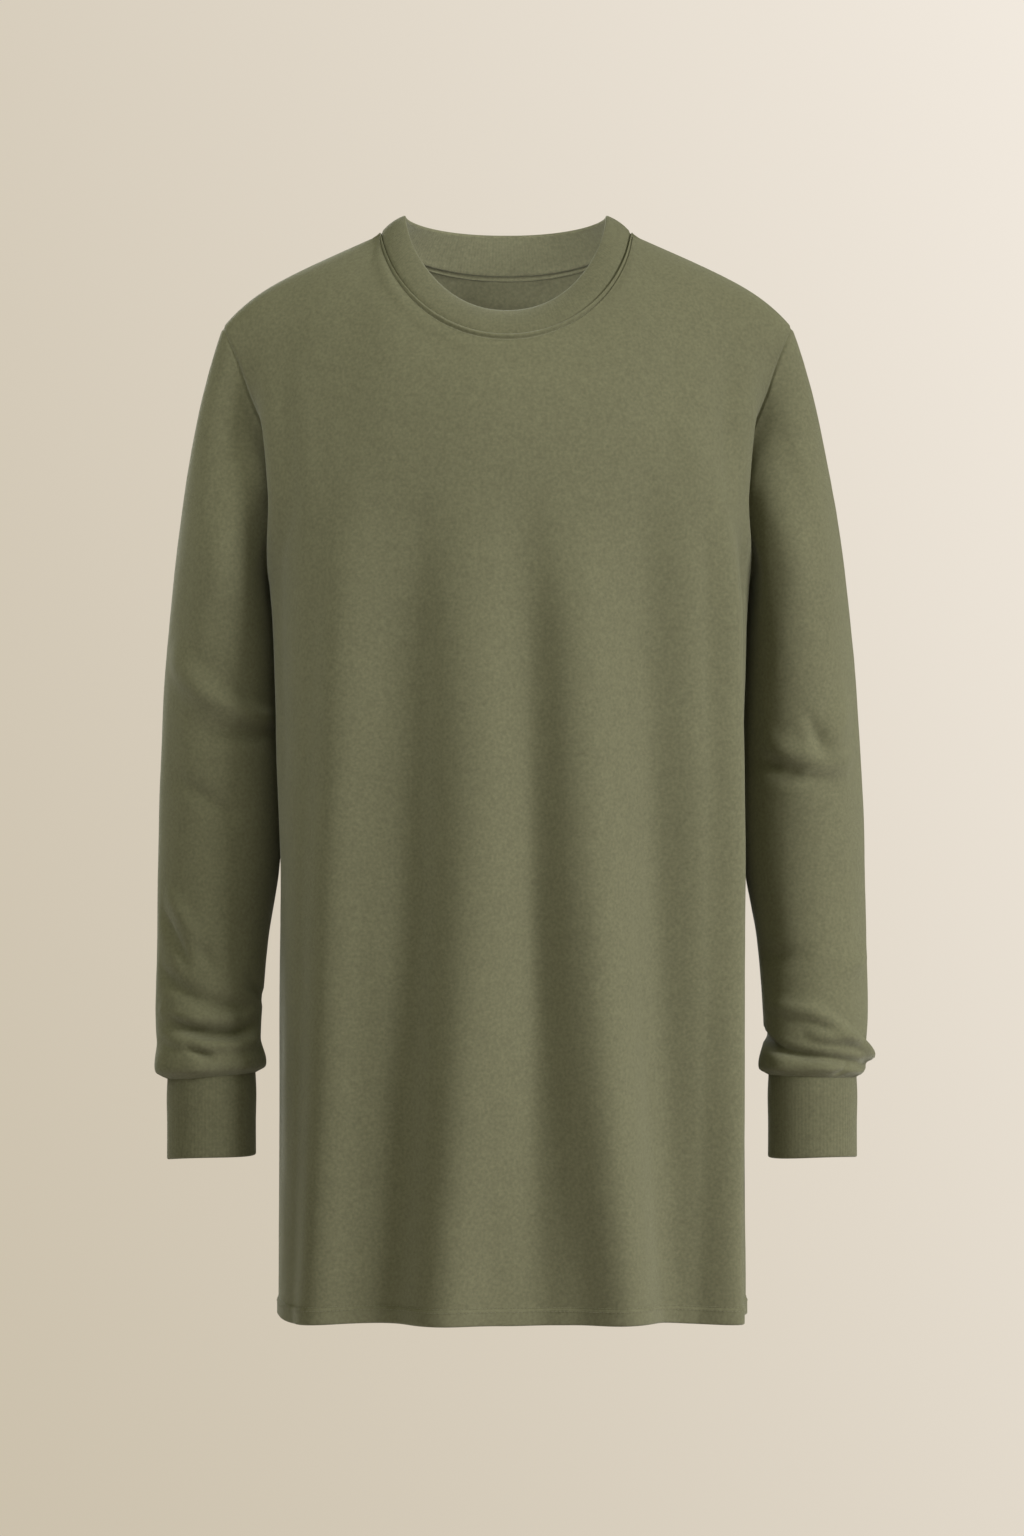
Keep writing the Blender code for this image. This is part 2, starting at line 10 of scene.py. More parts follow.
import bpy
import numpy as np
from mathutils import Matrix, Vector


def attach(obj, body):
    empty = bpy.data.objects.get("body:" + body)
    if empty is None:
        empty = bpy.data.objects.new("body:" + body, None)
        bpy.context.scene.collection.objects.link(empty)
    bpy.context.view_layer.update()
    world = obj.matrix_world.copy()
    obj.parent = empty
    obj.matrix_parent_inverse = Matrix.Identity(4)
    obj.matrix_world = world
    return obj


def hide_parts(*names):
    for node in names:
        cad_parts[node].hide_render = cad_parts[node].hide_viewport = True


# ---- dimensions
# The form is that of the solids.  The walls, the hem and the folds are a little finer.
MILLIMETRE = 0.001
CLOTH = 0.0012  # wall of the jersey
HEM_CLOTH = 0.0024  # wall of the turned hem
RIB = 0.0024  # wall of the collar and the cuffs

# Neck lines: half width and rise at the shoulder, forward and drop at the centre front, backward
# and drop at the centre back, roundness seen from above (1 is an ellipse).
COLLAR_SEAM = (0.0968, 0.0, (0.097, 0.0844), (0.075, 0.0260), 0.95)
COLLAR_EDGE = (0.0790, 0.0133, (0.075, 0.0791), (0.062, 0.0105), 0.92)
COLLAR_BULGE = 0.0015  # how far the band rounds outwards between them
NECK_DIP_POWER = 1.25  # how they dip from the shoulder to the centres
NECK_SHARE = 0.42  # share of a panel's half top edge that is neckline

TIP_HALF_WIDTH = 0.2215  # shoulder tip, where sleeve and shoulder seam meet
SHOULDER_SLOPE = 0.0560  # straight part of the shoulder's fall
SHOULDER_ROUND = 0.0175  # extra fall at the rounded tip
SHOULDER_POWER = 5.5  # how late along the shoulder that fall comes
UNDERARM_DROP = 0.275
HEM_DROP = 0.844
HEM_RISE_FRONT = 0.003  # the hem rides up this much at the centre front
HEM_DEPTH = 0.0115  # turned hem
SQUARENESS = 2.4  # exponent of the body's cross-section, 2 is an ellipse
CUFF_TOP_DROP = 0.6560
CUFF_END_DROP = 0.7180
HALF_GIRTH = 0.265  # from a panel's centre to its side, turns shares into lengths

FRONT = -1.0
BACK = 1.0

# Body below the underarm: drop, half width, depth in front, depth behind.
TORSO = np.array([
    (0.275, 0.1810, 0.1260, 0.1120),
    (0.400, 0.1810, 0.1240, 0.1040),
    (0.550, 0.1808, 0.1190, 0.1040),
    (0.700, 0.1808, 0.1130, 0.1110),
    (0.844, 0.1815, 0.1080, 0.1130),
])

# How a panel's lengthwise lines leave its top edge: share of the half panel, outward, away from
# the mid plane, down, length of the pull.
LEAVE = {FRONT: np.array([
    (0.00, 0.000, 0.62, 0.78, 0.070),
    (0.21, 0.280, 0.72, 0.62, 0.074),
    (0.30, 0.300, 0.80, 0.52, 0.079),
    (0.42, 0.250, 0.88, 0.38, 0.085),
    (0.60, 0.130, 0.95, 0.26, 0.073),
    (0.80, 0.050, 0.98, 0.14, 0.062),
    (1.00, 0.000, 1.00, 0.00, 0.052),
]), BACK: np.array([
    (0.00, 0.000, 0.55, 0.83, 0.055),
    (0.21, 0.220, 0.75, 0.60, 0.060),
    (0.30, 0.250, 0.82, 0.50, 0.066),
    (0.42, 0.230, 0.90, 0.34, 0.074),
    (0.60, 0.120, 0.96, 0.22, 0.070),
    (0.80, 0.050, 0.98, 0.12, 0.064),
    (1.00, 0.000, 1.00, 0.00, 0.055),
])}
CORNER_SOFTENING = 0.12  # share over which the corner at the neck's side is evened out
CORNER_REACH = 0.40  # share from that corner at which that ends
CORNER_STEPS = 9  # samples that are averaged there
CORNER_FALL = 1.25  # how slowly their weights fall off
# Below the neck's corner the columns are evened out with their neighbours.
EVEN_COLUMNS = 16
EVEN_PASSES = 3
EVEN_TOP = (0.006, 0.040)  # start and fade, by the distance from the top edge
EVEN_SHARE = (0.62, 0.25)  # end and fade, by the share of the half panel
EVEN_DROP = (0.220, 0.070)  # end and fade, by the drop
ARRIVE_LIFT = 0.105  # length of the upright pull at underarm level
ARRIVE_SPREAD = 0.014  # outward lean of that pull at the armhole
ARRIVE_POWER = 4  # how close to the armhole that lean stays
SLOPE_STEP = 0.005  # step over which the body's slope at that level is taken
UNDERARM_ROWS = 6  # rows over the underarm in which directions are evened out

# Armhole scoop: deepest share taken off the half panel, and how late it starts.
SCOOP = {FRONT: (0.105, 2.5), BACK: (0.140, 1.7)}
SCOOP_CLOSE = 0.5  # how bluntly it ends at the underarm

# Waves of the hem, the same on both panels: metres from the centre, half width, lift.
HEM_WAVES = [
    (-0.185, 0.022, 0.0040),
    (-0.120, 0.050, 0.0010),
    (0.010, 0.060, -0.0012),
    (0.105, 0.045, 0.0012),
    (0.185, 0.022, 0.0040),
]
HEM_WAVE_REACH = 0.10  # height above the hem at which they end

# Lengthwise drape folds: share of the half panel at chest, waist and hem, half width (share),
# height at chest, height at hem, drop where the fold starts.
FRONT_FOLDS = [
    (-0.41, -0.50, -0.56, 0.15, 0.0075, 0.0115, 0.150),
    (-0.075, -0.08, -0.14, 0.150, 0.0105, 0.0180, 0.160),
    (0.125, 0.18, 0.27, 0.150, 0.0115, 0.0195, 0.150),
    (0.67, 0.68, 0.66, 0.12, 0.0135, 0.0150, 0.130),
    (-0.62, -0.62, -0.62, 0.30, 0.0070, 0.0060, 0.030),
    (0.60, 0.60, 0.60, 0.30, 0.0070, 0.0060, 0.030),
    (0.00, 0.00, 0.00, 0.85, -0.0030, -0.0055, 0.150),
]
BACK_FOLDS = [
    (-0.55, -0.50, -0.56, 0.20, 0.0040, 0.0070, 0.160),
    (-0.12, -0.16, -0.20, 0.20, 0.0060, 0.0090, 0.180),
    (0.26, 0.22, 0.20, 0.18, 0.0050, 0.0085, 0.140),
    (0.62, 0.60, 0.56, 0.18, 0.0060, 0.0060, 0.120),
]
FOLD_CHEST = 0.20  # drops at which these are given, with the hem
FOLD_WAIST = 0.55
FOLD_FADE = 0.19  # length over which they start
# Fold that stands beside each armhole: share inside the edge, half width (share), height,
# drop where it starts, drop where it is highest, drop where it ends.
ARMHOLE_FOLD = {FRONT: (0.120, 0.13, 0.0085, 0.080, 0.155, 0.620),
                BACK: (0.150, 0.14, 0.0075, 0.090, 0.170, 0.400)}
ARMHOLE_TROUGH = {FRONT: (0.0, 0.075, -0.0110, 0.115, 0.190, 0.340),
                  BACK: (0.0, 0.07, -0.0050, 0.110, 0.180, 0.340)}
EDGE_MERGE = 0.070  # height over the underarm in which folds leave the armhole's curve
# Trough down each side seam, where the hanging sleeve lies against the body.
SIDE_TROUGH = {FRONT: (0.0, 0.19, -0.0080, 0.262, 0.315, 0.620),
               BACK: (0.0, 0.30, -0.0080, 0.262, 0.315, 0.620)}

# Sleeve rings, shoulder to cuff: underarm line (half width, drop), outer line (half width, drop),
# middle behind the mid plane, half depth.
SLEEVE = np.array([
    (0.1810, 0.2750, 0.2215, 0.0735, 0.000, 0.050),
    (0.1845, 0.2742, 0.2300, 0.0980, 0.001, 0.051),
    (0.1860, 0.2785, 0.2410, 0.1410, 0.003, 0.055),
    (0.1852, 0.2880, 0.2512, 0.1960, 0.006, 0.061),
    (0.1828, 0.3060, 0.2594, 0.2500, 0.010, 0.065),
    (0.1800, 0.3320, 0.2664, 0.3050, 0.013, 0.065),
    (0.1790, 0.3700, 0.2711, 0.3600, 0.014, 0.061),
    (0.1788, 0.4400, 0.2742, 0.4400, 0.013, 0.055),
    (0.1832, 0.4960, 0.2752, 0.5000, 0.008, 0.049),
    (0.1912, 0.5500, 0.2760, 0.5550, 0.000, 0.044),
    (0.1955, 0.6050, 0.2765, 0.6080, -0.010, 0.039),
    (0.1965, 0.6350, 0.2742, 0.6350, -0.016, 0.036),
    (0.2000, 0.6555, 0.2700, 0.6555, -0.019, 0.0325),
])
SLEEVE_BLEND = 4.0  # rings over which the armhole's own shape fades out
SLEEVE_GIRTH = 0.300  # mean girth, turns angles into lengths
RING_CROWDING = 1.7  # how the sleeve's lines crowd towards the underarm

# Cuff rings: share of the height, half width, half depth.
CUFF_CENTRE = (0.2335, -0.0195)  # half width and distance from the mid plane of its middle
CUFF = np.array([
    (0.0, 0.0330, 0.0302),
    (0.2, 0.0336, 0.0307),
    (0.6, 0.0333, 0.0303),
    (1.0, 0.0334, 0.0304),
])
CUFF_TILT = {"left": 0.0, "right": 0.055}  # how much lower the outer side hangs, per metre out

SIDE_TURN = 0.012  # distance from the side seam over which panels turn sideways
SIDE_TURN_RISE = 0.030  # height above the underarm over which that starts

# The whole garment hangs a little to one side: drop, sideways shift.
LEAN = np.array([
    (-0.02, -0.0030),
    (0.085, -0.0015),
    (0.275, 0.0000),
    (0.450, 0.0015),
    (0.850, 0.0020),
])

# ---- creases
# Each crease is a path of rows in millimetres.  It is a ridge where its height is positive, and a
# row that leaves out its height is flat.
# Body: across from the centre, drop, half width, height.
FRONT_CREASES = [
    [(-70, 200, 26), (-78, 330, 30, -4), (-82, 550, 30, -6.5), (-96, 800, 30, -5.8),
     (-98, 860, 30, -5)],
    [(10, 200, 26), (13, 330, 30, -4.4), (15, 550, 30, -6.5), (22, 800, 30, -5.8),
     (24, 860, 30, -5)],
    [(104, 180, 28), (110, 300, 32, -7), (118, 500, 32, -12), (128, 760, 32, -11),
     (132, 860, 32, -9)],
    [(130, 135, 16), (143, 190, 18, 2.2), (158, 265, 16)],
    [(-168, 95, 16), (-158, 150, 18, 2), (-150, 290, 18)],
]
BACK_CREASES = [
    [(150, 110, 20), (120, 190, 22, 3), (80, 290, 22)],
    [(-155, 120, 20), (-128, 200, 22, 3), (-95, 310, 22)],
    [(-60, 50, 14), (0, 62, 14, 1.4), (60, 52, 14)],
    [(-40, 75, 10), (15, 82, 10, -1.2), (55, 76, 10)],
]
# Sleeves: angle (0 underarm, 90 front, 180 outside, 270 behind), then the same.
RIGHT_SLEEVE_CREASES = [
    [(150, 318, 20), (122, 346, 18, 3.6), (78, 370, 14, 4.6), (45, 378, 11, 4), (20, 380, 10)],
    [(125, 383, 8), (105, 387, 7, -3.2), (75, 390, 7, -3.8), (45, 389, 7, -3.4), (22, 386, 8)],
    [(142, 424, 11), (121, 431, 10, -2.2), (88, 447, 10, -2.6), (68, 455, 10)],
    [(150, 510, 12), (128, 526, 11, 2.6), (95, 556, 11)],
    [(160, 526, 9), (146, 537, 9, -2.6), (125, 556, 9, -3), (108, 574, 9)],
    [(108, 552, 8), (92, 562, 8, -2.6), (74, 574, 8)],
    [(162, 570, 8), (139, 581, 9, -3.2), (97, 595, 9, -3.8), (50, 602, 9, -2.8), (25, 603, 9)],
    [(160, 602, 8), (130, 609, 8, 3.2), (75, 610, 8, 2.2), (45, 605, 8)],
    [(150, 604, 8), (128, 612, 8, -3.4), (95, 621, 8, -4.2), (55, 622, 8, -3.6), (16, 612, 8)],
    [(165, 618, 8), (110, 629, 8, 2.6), (40, 630, 8, 2.6), (10, 624, 8)],
    [(118, 630, 6), (96, 637, 6, -3), (78, 641, 6)],
    [(50, 578, 8), (22, 590, 8, -2.4), (-10, 598, 8)],
    [(200, 360, 22), (245, 375, 20, 4.2), (300, 372, 16, 3.6), (345, 378, 12)],
    [(230, 400, 12), (270, 402, 12, -2.6), (320, 398, 12)],
    [(195, 590, 10), (240, 604, 10, -3.4), (300, 600, 10)],
    [(200, 612, 9), (255, 622, 9, 3), (330, 616, 9)],
    [(190, 628, 8), (250, 637, 8, -3.4), (330, 634, 8)],
]
LEFT_SLEEVE_CREASES = [
    [(145, 355, 18), (128, 385, 18, 3.2), (118, 410, 12)],
    [(92, 372, 9), (105, 392, 9, -2.8), (118, 408, 8)],
    [(48, 392, 10), (72, 403, 10, 3.6), (92, 409, 9, 4), (116, 414, 9, 4.4), (136, 409, 9, 3),
     (150, 396, 9)],
    [(35, 410, 9), (58, 415, 9, -3.4), (86, 421, 9, -3.8), (115, 426, 9, -2.4), (135, 424, 9)],
    [(10, 560, 11), (45, 563, 11, -2.4), (92, 560, 11)],
    [(110, 574, 11), (142, 568, 11, 2.6), (175, 560, 11)],
    [(25, 600, 9), (55, 602, 9, 3), (88, 606, 9, 3.6), (122, 620, 9, 2.4), (140, 628, 9)],
    [(-25, 622, 7), (5, 625, 7, -4.6), (55, 636, 7, -5), (103, 641, 7, -5), (160, 646, 7, -4),
     (200, 645, 7)],
    [(75, 620, 8), (100, 624, 8, 3.4), (134, 626, 8, 4.4), (172, 638, 8, 4), (200, 640, 8)],
    [(104, 655, 4), (118, 651, 4, -2.6), (134, 645, 4)],
    [(205, 372, 22), (250, 388, 20, 4.2), (305, 380, 16, 3.4), (345, 392, 12)],
    [(235, 410, 12), (275, 414, 12, -2.6), (325, 410, 12)],
    [(200, 585, 10), (245, 600, 10, -3.2), (300, 598, 10)],
    [(215, 606, 9), (265, 618, 9, 3), (335, 612, 9)],
]
# Long soft ridges down the front and the back of both sleeve caps.
CAP_CREASES = [
    [(95, 120, 22), (92, 200, 24, 3.6), (88, 300, 24)],
    [(265, 130, 22), (268, 210, 24, 3.4), (270, 310, 24)],
]
SLEEVE_CREASE_LIFT = 1.50  # the sleeves' creases are this much higher
CREASE_STEPS = 6  # straight steps between two rows

# Fine unevenness of the cloth: length of the waves, height, how far they stretch downwards.
RIPPLES = [
    (0.110, 0.00055, 0.40),
    (0.045, 0.00010, 0.55),
    (0.018, 0.00003, 0.80),
]
RIPPLE_WAVES = 10
RIPPLE_SPREAD = (0.6, 1.5)  # how much shorter and longer the waves may be
RIPPLE_SHARE = 0.45  # share of the height in each wave

# Sleeve end: the cloth balloons a little over the cuff and tucks in at its seam.
BLOOM_HEIGHT = 0.0058
BLOOM_PEAK = 0.0075  # above the cuff seam
BLOOM_LENGTH = 0.030
BLOOM_TUCK = 0.0016  # how far the seam lies inside the cuff's face
BLOOM_TUCK_LENGTH = 0.002
BLOOM_WAVES = ((3, 0.6, 0.16), (7, 2.1, 0.10))  # lobes round the sleeve, their turn, their share
SLEEVE_END_CALM = 0.006  # creases fade in over this distance from the cuff
TILT_REACH = 0.05  # height of sleeve that tilts with its cuff
CUFF_OVERLAP = 0.001  # how far the cuff reaches up into the sleeve
CUFF_WAVE = (0.0008, 2, 0.7)  # its edge's waves: height, number, turn

# ---- seams and stitches
SEAM_REACH = 0.0030  # cloth rolls in to a seam over this distance
SEAM_DEPTH = 0.0012
CALM = 0.022  # creases and ripples fade in over this distance from a seam
WELT_DEPTH = 0.0008  # groove between the collar and its stitched-down seam
WELT_WIDTH = 0.0050  # from the collar seam to the stitch line
WELT_HEIGHT = 0.0014
WELT_RISE = 0.0012  # width of its slope at the seam
WELT_FALL = 0.0014  # and at the stitch line
WELT_GROOVE = 0.0013
WELT_GROOVE_WIDTH = 0.0011
WELT_LIP = (0.0018, 0.0016, 0.0002)  # beyond the groove: distance, half width, height
WELT_CLOTH = 0.0010  # what the wall gains below the welt
WELT_EDGE = 0.0010  # width over which it gains that
WELT_COLUMNS = 3.0  # columns over which the welt ends at the shoulder
HEM_STEP_HEIGHT = 0.0005  # how far the doubled hem stands out
HEM_STEP_WIDTH = 0.002
STITCH_PITCH = 0.0030
STITCH_LENGTH = 0.0025
STITCH_RADIUS = 0.00022
STITCH_SIDES = 6
STITCH_RINGS = 5
STITCH_BEND = 4  # how late a stitch dives at its ends
STITCH_LIFT = (0.9, 1.6)  # rise at its middle and dive at its ends, in radii
STITCH_SLIM = 0.35  # share that it thins at its ends
HEM_STITCH_LINES = (0.0095, 0.0125)  # above the hem's edge

# ---- fineness
NECK_STEPS = 34  # columns from a panel's centre to the shoulder point
SHOULDER_STEPS = 48  # columns from there to the armhole
EDGE_STEPS = (0.0220, 0.0160, 0.0115, 0.0080, 0.0054, 0.0034, 0.0018, 0.0007, 0.0)
NEAR_ROWS = 15  # rows in the zone along the top edge
NEAR_ZONE = 0.0095  # width of that zone at the neck
NEAR_SPREAD = 1.6  # how much wider it is at the shoulder tip
TRIAL_FALL = 0.25  # stretch of the yoke that is measured to place that zone
TRIAL_ROWS = 41
YOKE_ROWS = 92
YOKE_CROWDING = 1.25
BODY_ROWS = 92
HEM_ROWS = 15
HEM_ZONE = 0.0180
SLEEVE_ROWS = 112
SLEEVE_START = (0.0, 0.02, 0.045, 0.075, 0.11, 0.155, 0.21, 0.27)  # its first stations
SLEEVE_END = (0.9, 0.8, 0.7, 0.6, 0.5, 0.42, 0.34, 0.27, 0.2, 0.14, 0.09, 0.045, 0.0)
COLLAR_ROWS = 16
CUFF_ROWS = 26
CUFF_COLUMNS = 160
CAP_STEPS = 3  # steps round a rolled edge
SEEDS = {FRONT: 11, BACK: 12, "left": 13, "right": 14}  # of the fine unevenness

# ---- looks
OLIVE = (0.1385, 0.1350, 0.0800)  # linear
OLIVE_RIB = (0.1275, 0.1242, 0.0730)
OLIVE_THREAD = (0.165, 0.157, 0.096)
CLOTH_ROUGHNESS = (0.82, 0.94)
ROUGH_PATTERN = (260.0, 3.0)  # scale and detail, as for the other patterns
CLOTH_LOOK = {"Metallic": 0.0, "Specular IOR Level": 0.25, "Sheen Weight": 0.26,
              "Sheen Roughness": 0.45, "Sheen Tint": (0.92, 0.93, 0.80, 1.0)}
WALE = 0.00090  # width of one column of knit loops
COURSE = 0.00068  # height of one row of them
LOOP_SHARE = 0.3  # how much the rows show against the columns
FIBRE = (1400.0, 3.0)
FIBRE_SHARE = 0.8
# Relief of the knit, the ribs and the thread: depth, strength, how far it shades the colour, as
# painted shade in its hollows and painted highlight on its crests.
KNIT_RELIEF_PAINTED_SHADE = (0.00010, 0.8, 0.05)
RIB_RELIEF_PAINTED_SHADE = (0.00006, 0.7, 0.02)
RIB_PITCH = 0.0026
THREAD_RELIEF_PAINTED_SHADE = (0.00005, 0.6, 0.10)
THREAD_TWIST = (3000.0, 2.0)
THREAD_ROUGHNESS = 0.65
# Uneven dye and yarn: scale and detail of the pattern, how far it shades the colour.
TONES = [(9.0, 2.0, 0.045), (70.0, 4.0, 0.060), (420.0, 3.0, 0.34)]

# The wall seen behind has painted light: its colour runs from a painted shaded side to a painted
# lit side.
PAINTED_WALL_SHADE = (0.585, 0.515, 0.395, 1.0)
PAINTED_WALL_LIGHT = (0.940, 0.875, 0.795, 1.0)
PAINTED_LIGHT_TILT = (4.58, 0.0, 1.83)  # how the painted light on the wall grows, to the right and upwards
PAINTED_LIGHT_REACH = 0.75
PAINTED_LIGHT_BEND = 1.4  # how late it brightens
FLOOR_COLOUR = (0.70, 0.65, 0.74, 1.0)
FLOOR_TONE = (5.0, 2.0, 0.02)  # as in TONES
FLOOR_ROUGHNESS = 0.9
AMBIENT = 0.40  # strength of the room's light on the cloth
AMBIENT_COLOUR = (0.70, 0.70, 0.46, 1.0)
AMBIENT_TILT = 0.80  # how much more of it comes from above
# Soft lights: name, place, aim, size, power, spread in degrees.
LAMPS = [
    ("key", (3.19, -1.99, 0.97), (0.0, 0.0, -0.90), 1.3, 20.0, 60.0),
    ("fill", (-0.75, -0.90, 0.25), (-0.17, -0.10, -0.15), 0.5, 0.90, 64.0),
    ("back", (-1.2, 3.4, 0.9), (0.0, 0.0, -0.45), 1.3, 10.0, 60.0),
]
NECK_LIGHT_PLACE = (0.0, -0.008, -0.035)  # what the pale room throws into the neck
NECK_LIGHT_SIZE = 0.03
NECK_LIGHT_POWER = 0.25
CAMERA_PLACE = (0.002, -5.0, -0.4165)
CAMERA_LENS = 150.2
CAMERA_SENSOR = 36.0
FLOOR_DROP = 1.20
FLOOR_RADIUS = 1.40
FLOOR_CORNERS = 96


# ---- curves
def smooth(table, column, at):
    """Smooth curve through one column of a table, whose first column is the station."""
    stations = table[:, 0]
    values = table[:, column]
    slopes = np.gradient(values, stations)
    at = np.clip(at, stations[0], stations[-1])
    index = np.clip(np.searchsorted(stations, at) - 1, 0, len(stations) - 2)
    span = stations[index + 1] - stations[index]
    share = (at - stations[index]) / span
    rest = 1.0 - share
    start = values[index] * (1.0 + 2.0 * share) * rest ** 2
    end = values[index + 1] * (3.0 - 2.0 * share) * share ** 2
    leaving = slopes[index] * span * share * rest ** 2
    arriving = slopes[index + 1] * span * rest * share ** 2
    return start + end + leaving - arriving


def ease(share):
    """Smooth step from 0 to 1."""
    share = np.clip(share, 0.0, 1.0)
    return share * share * (3.0 - 2.0 * share)


def past(value, step):
    """Smooth step from 0 to 1, by where it starts and how long it is."""
    return ease((value - step[0]) / step[1])


def bump(distance, half_width):
    """Rounded ridge profile, 1 at its crest and 0 at its half width."""
    share = np.clip(np.abs(distance) / half_width, 0.0, 1.0)
    return 0.5 + 0.5 * np.cos(math.pi * share)


def point(x, y, z):
    """Stack three broadcast coordinates into points."""
    return np.stack(np.broadcast_arrays(x, y, z), axis=-1)


def unit(vectors):
    """The same directions at length 1."""
    return vectors / np.linalg.norm(vectors, axis=-1, keepdims=True)


def lengths(grid, axis):
    """Distance along the rows or columns of a grid of points, from its first line."""
    steps = np.linalg.norm(np.diff(grid, axis=axis), axis=-1)
    start = np.zeros_like(np.take(steps, [0], axis=axis))
    return np.concatenate([start, np.cumsum(steps, axis=axis)], axis=axis)


def neck_line(turn, line):
    """Neck line by its turn: -90 degrees centre front, 0 at the shoulder, 90 centre back."""
    half_width, rise, front, back, power = line
    forward = np.clip(-np.sin(turn), 0.0, 1.0)
    backward = np.clip(np.sin(turn), 0.0, 1.0)
    x = half_width * np.abs(np.cos(turn)) ** power
    y = back[0] * backward - front[0] * forward
    z = rise - front[1] * forward ** NECK_DIP_POWER - back[1] * backward ** NECK_DIP_POWER
    return point(x, y, z)


# ---- body panels
def top_edge(share, side):
    """Neckline and shoulder seam of a panel, at a share of its half (0 centre, 1 tip)."""
    half = np.abs(share)
    turn = side * np.clip(1.0 - half / NECK_SHARE, 0.0, 1.0) * math.pi / 2
    x, y, z = np.moveaxis(neck_line(turn, COLLAR_SEAM), -1, 0)
    along = np.clip((half - NECK_SHARE) / (1.0 - NECK_SHARE), 0.0, 1.0)
    on_neck = half < NECK_SHARE
    x = np.where(on_neck, x, COLLAR_SEAM[0] + along * (TIP_HALF_WIDTH - COLLAR_SEAM[0]))
    z = np.where(on_neck, z, -SHOULDER_SLOPE * along - SHOULDER_ROUND * along ** SHOULDER_POWER)
    return point(np.sign(share) * x, y, z)


def evened_edge(share, side):
    """The top edge with its corner at the neck's side evened out."""
    width = CORNER_SOFTENING * bump(np.abs(share) - NECK_SHARE, CORNER_REACH)
    steps = np.linspace(-1.0, 1.0, CORNER_STEPS)
    weights = bump(steps, CORNER_FALL)
    total = sum(weight * top_edge(share + step * width, side)
                for step, weight in zip(steps, weights))
    return total / np.sum(weights)


def torso(share, drop, side):
    """Body cross-section below the underarm."""
    angle = share * math.pi / 2
    power = 2.0 / SQUARENESS
    depth = smooth(TORSO, 2 if side == FRONT else 3, drop)
    x = smooth(TORSO, 1, drop) * np.sign(share) * np.abs(np.sin(angle)) ** power
    y = side * depth * np.abs(np.cos(angle)) ** power
    return point(x, y, -drop)


def yoke(share, fall, side):
    """Body above the underarm: lengthwise curves from the top edge to the underarm level."""
    leave = LEAVE[side]
    half = np.abs(share)
    pull = smooth(leave, 4, half)
    towards = point(np.sign(share) * smooth(leave, 1, half), side * smooth(leave, 2, half),
                    -smooth(leave, 3, half))
    start = top_edge(share, side)
    end = torso(share, UNDERARM_DROP, side)
    first = evened_edge(share, side) + towards * pull[..., None]
    spread = ARRIVE_SPREAD * np.sign(share) * half ** ARRIVE_POWER
    slope = (torso(share, UNDERARM_DROP + SLOPE_STEP, side) - end) / SLOPE_STEP
    second = end - slope * ARRIVE_LIFT + point(spread, 0.0, 0.0)
    fall = fall[..., None]
    rest = 1.0 - fall
    return (start * rest ** 3 + first * 3 * rest ** 2 * fall
            + second * 3 * rest * fall ** 2 + end * fall ** 3)


def reach(fall, side):
    """Share of the half panel that the armhole leaves, by the fall from tip to underarm."""
    scoop, lateness = SCOOP[side]
    deepest = lateness / (lateness + SCOOP_CLOSE)
    largest = deepest ** lateness * (1.0 - deepest) ** SCOOP_CLOSE
    return 1.0 - scoop * fall ** lateness * (1.0 - fall) ** SCOOP_CLOSE / largest


def panel_columns():
    """Shares of a panel's columns, with one at each end of the neckline."""
    neck = np.linspace(0.0, NECK_SHARE, NECK_STEPS + 1)
    edge = 1.0 - np.array(EDGE_STEPS) / HALF_GIRTH
    shoulder = np.linspace(NECK_SHARE, edge[0], SHOULDER_STEPS + 1)
    half = np.concatenate([neck, shoulder[1:], edge[1:]])
    return np.concatenate([-half[:0:-1], half])


def yoke_falls(across, side):
    """Falls of the yoke's rows, column by column: even steps along the top edge, then on down."""
    trial = np.linspace(0.0, TRIAL_FALL, TRIAL_ROWS)[:, None]
    shares = across[None, :] * reach(trial, side)
    run = lengths(yoke(shares, np.broadcast_to(trial, shares.shape), side), 0)
    outer = np.clip((np.abs(across) - NECK_SHARE) / (1.0 - NECK_SHARE), 0.0, 1.0)
    zone = NEAR_ZONE * (1.0 + NEAR_SPREAD * outer)
    steps = np.linspace(0.0, 1.0, NEAR_ROWS + 1)
    near = np.stack([np.interp(steps * width, column, trial[:, 0])
                     for width, column in zip(zone, run.T)], axis=1)
    down = 1.0 - (1.0 - np.linspace(0.0, 1.0, YOKE_ROWS + 1)[1:, None]) ** YOKE_CROWDING
    return np.concatenate([near, near[-1] + (1.0 - near[-1]) * down])


def body_drops():
    """Drops of the rows below the underarm, closer together in the hem."""
    plain = np.linspace(UNDERARM_DROP, HEM_DROP - HEM_ZONE, BODY_ROWS + 1)[1:]
    hem = np.linspace(HEM_DROP - HEM_ZONE, HEM_DROP, HEM_ROWS + 1)[1:]
    return np.concatenate([plain, hem])


def normals(grid, closed):
    """Unit normals of a grid of points, whose rows run down and columns run to the left side."""
    if closed:
        wrapped = np.concatenate([grid[:, -1:], grid, grid[:, :1]], axis=1)
        across = np.gradient(wrapped, axis=1)[:, 1:-1]
    else:
        across = np.gradient(grid, axis=1)
    down = np.gradient(grid, axis=0)
    return unit(np.cross(down, across))


def mended(directions, grid, rows):
    """The same directions, but even through the underarm, where the armhole runs level."""
    above = rows - UNDERARM_ROWS
    below = rows + 1
    span = slice(above, below + 1)
    height = grid[span, :, 2]
    share = ((height[:1] - height) / (height[:1] - height[-1:]))[..., None]
    directions = directions.copy()
    directions[span] = unit(directions[above] * (1.0 - share) + directions[below] * share)
    return directions


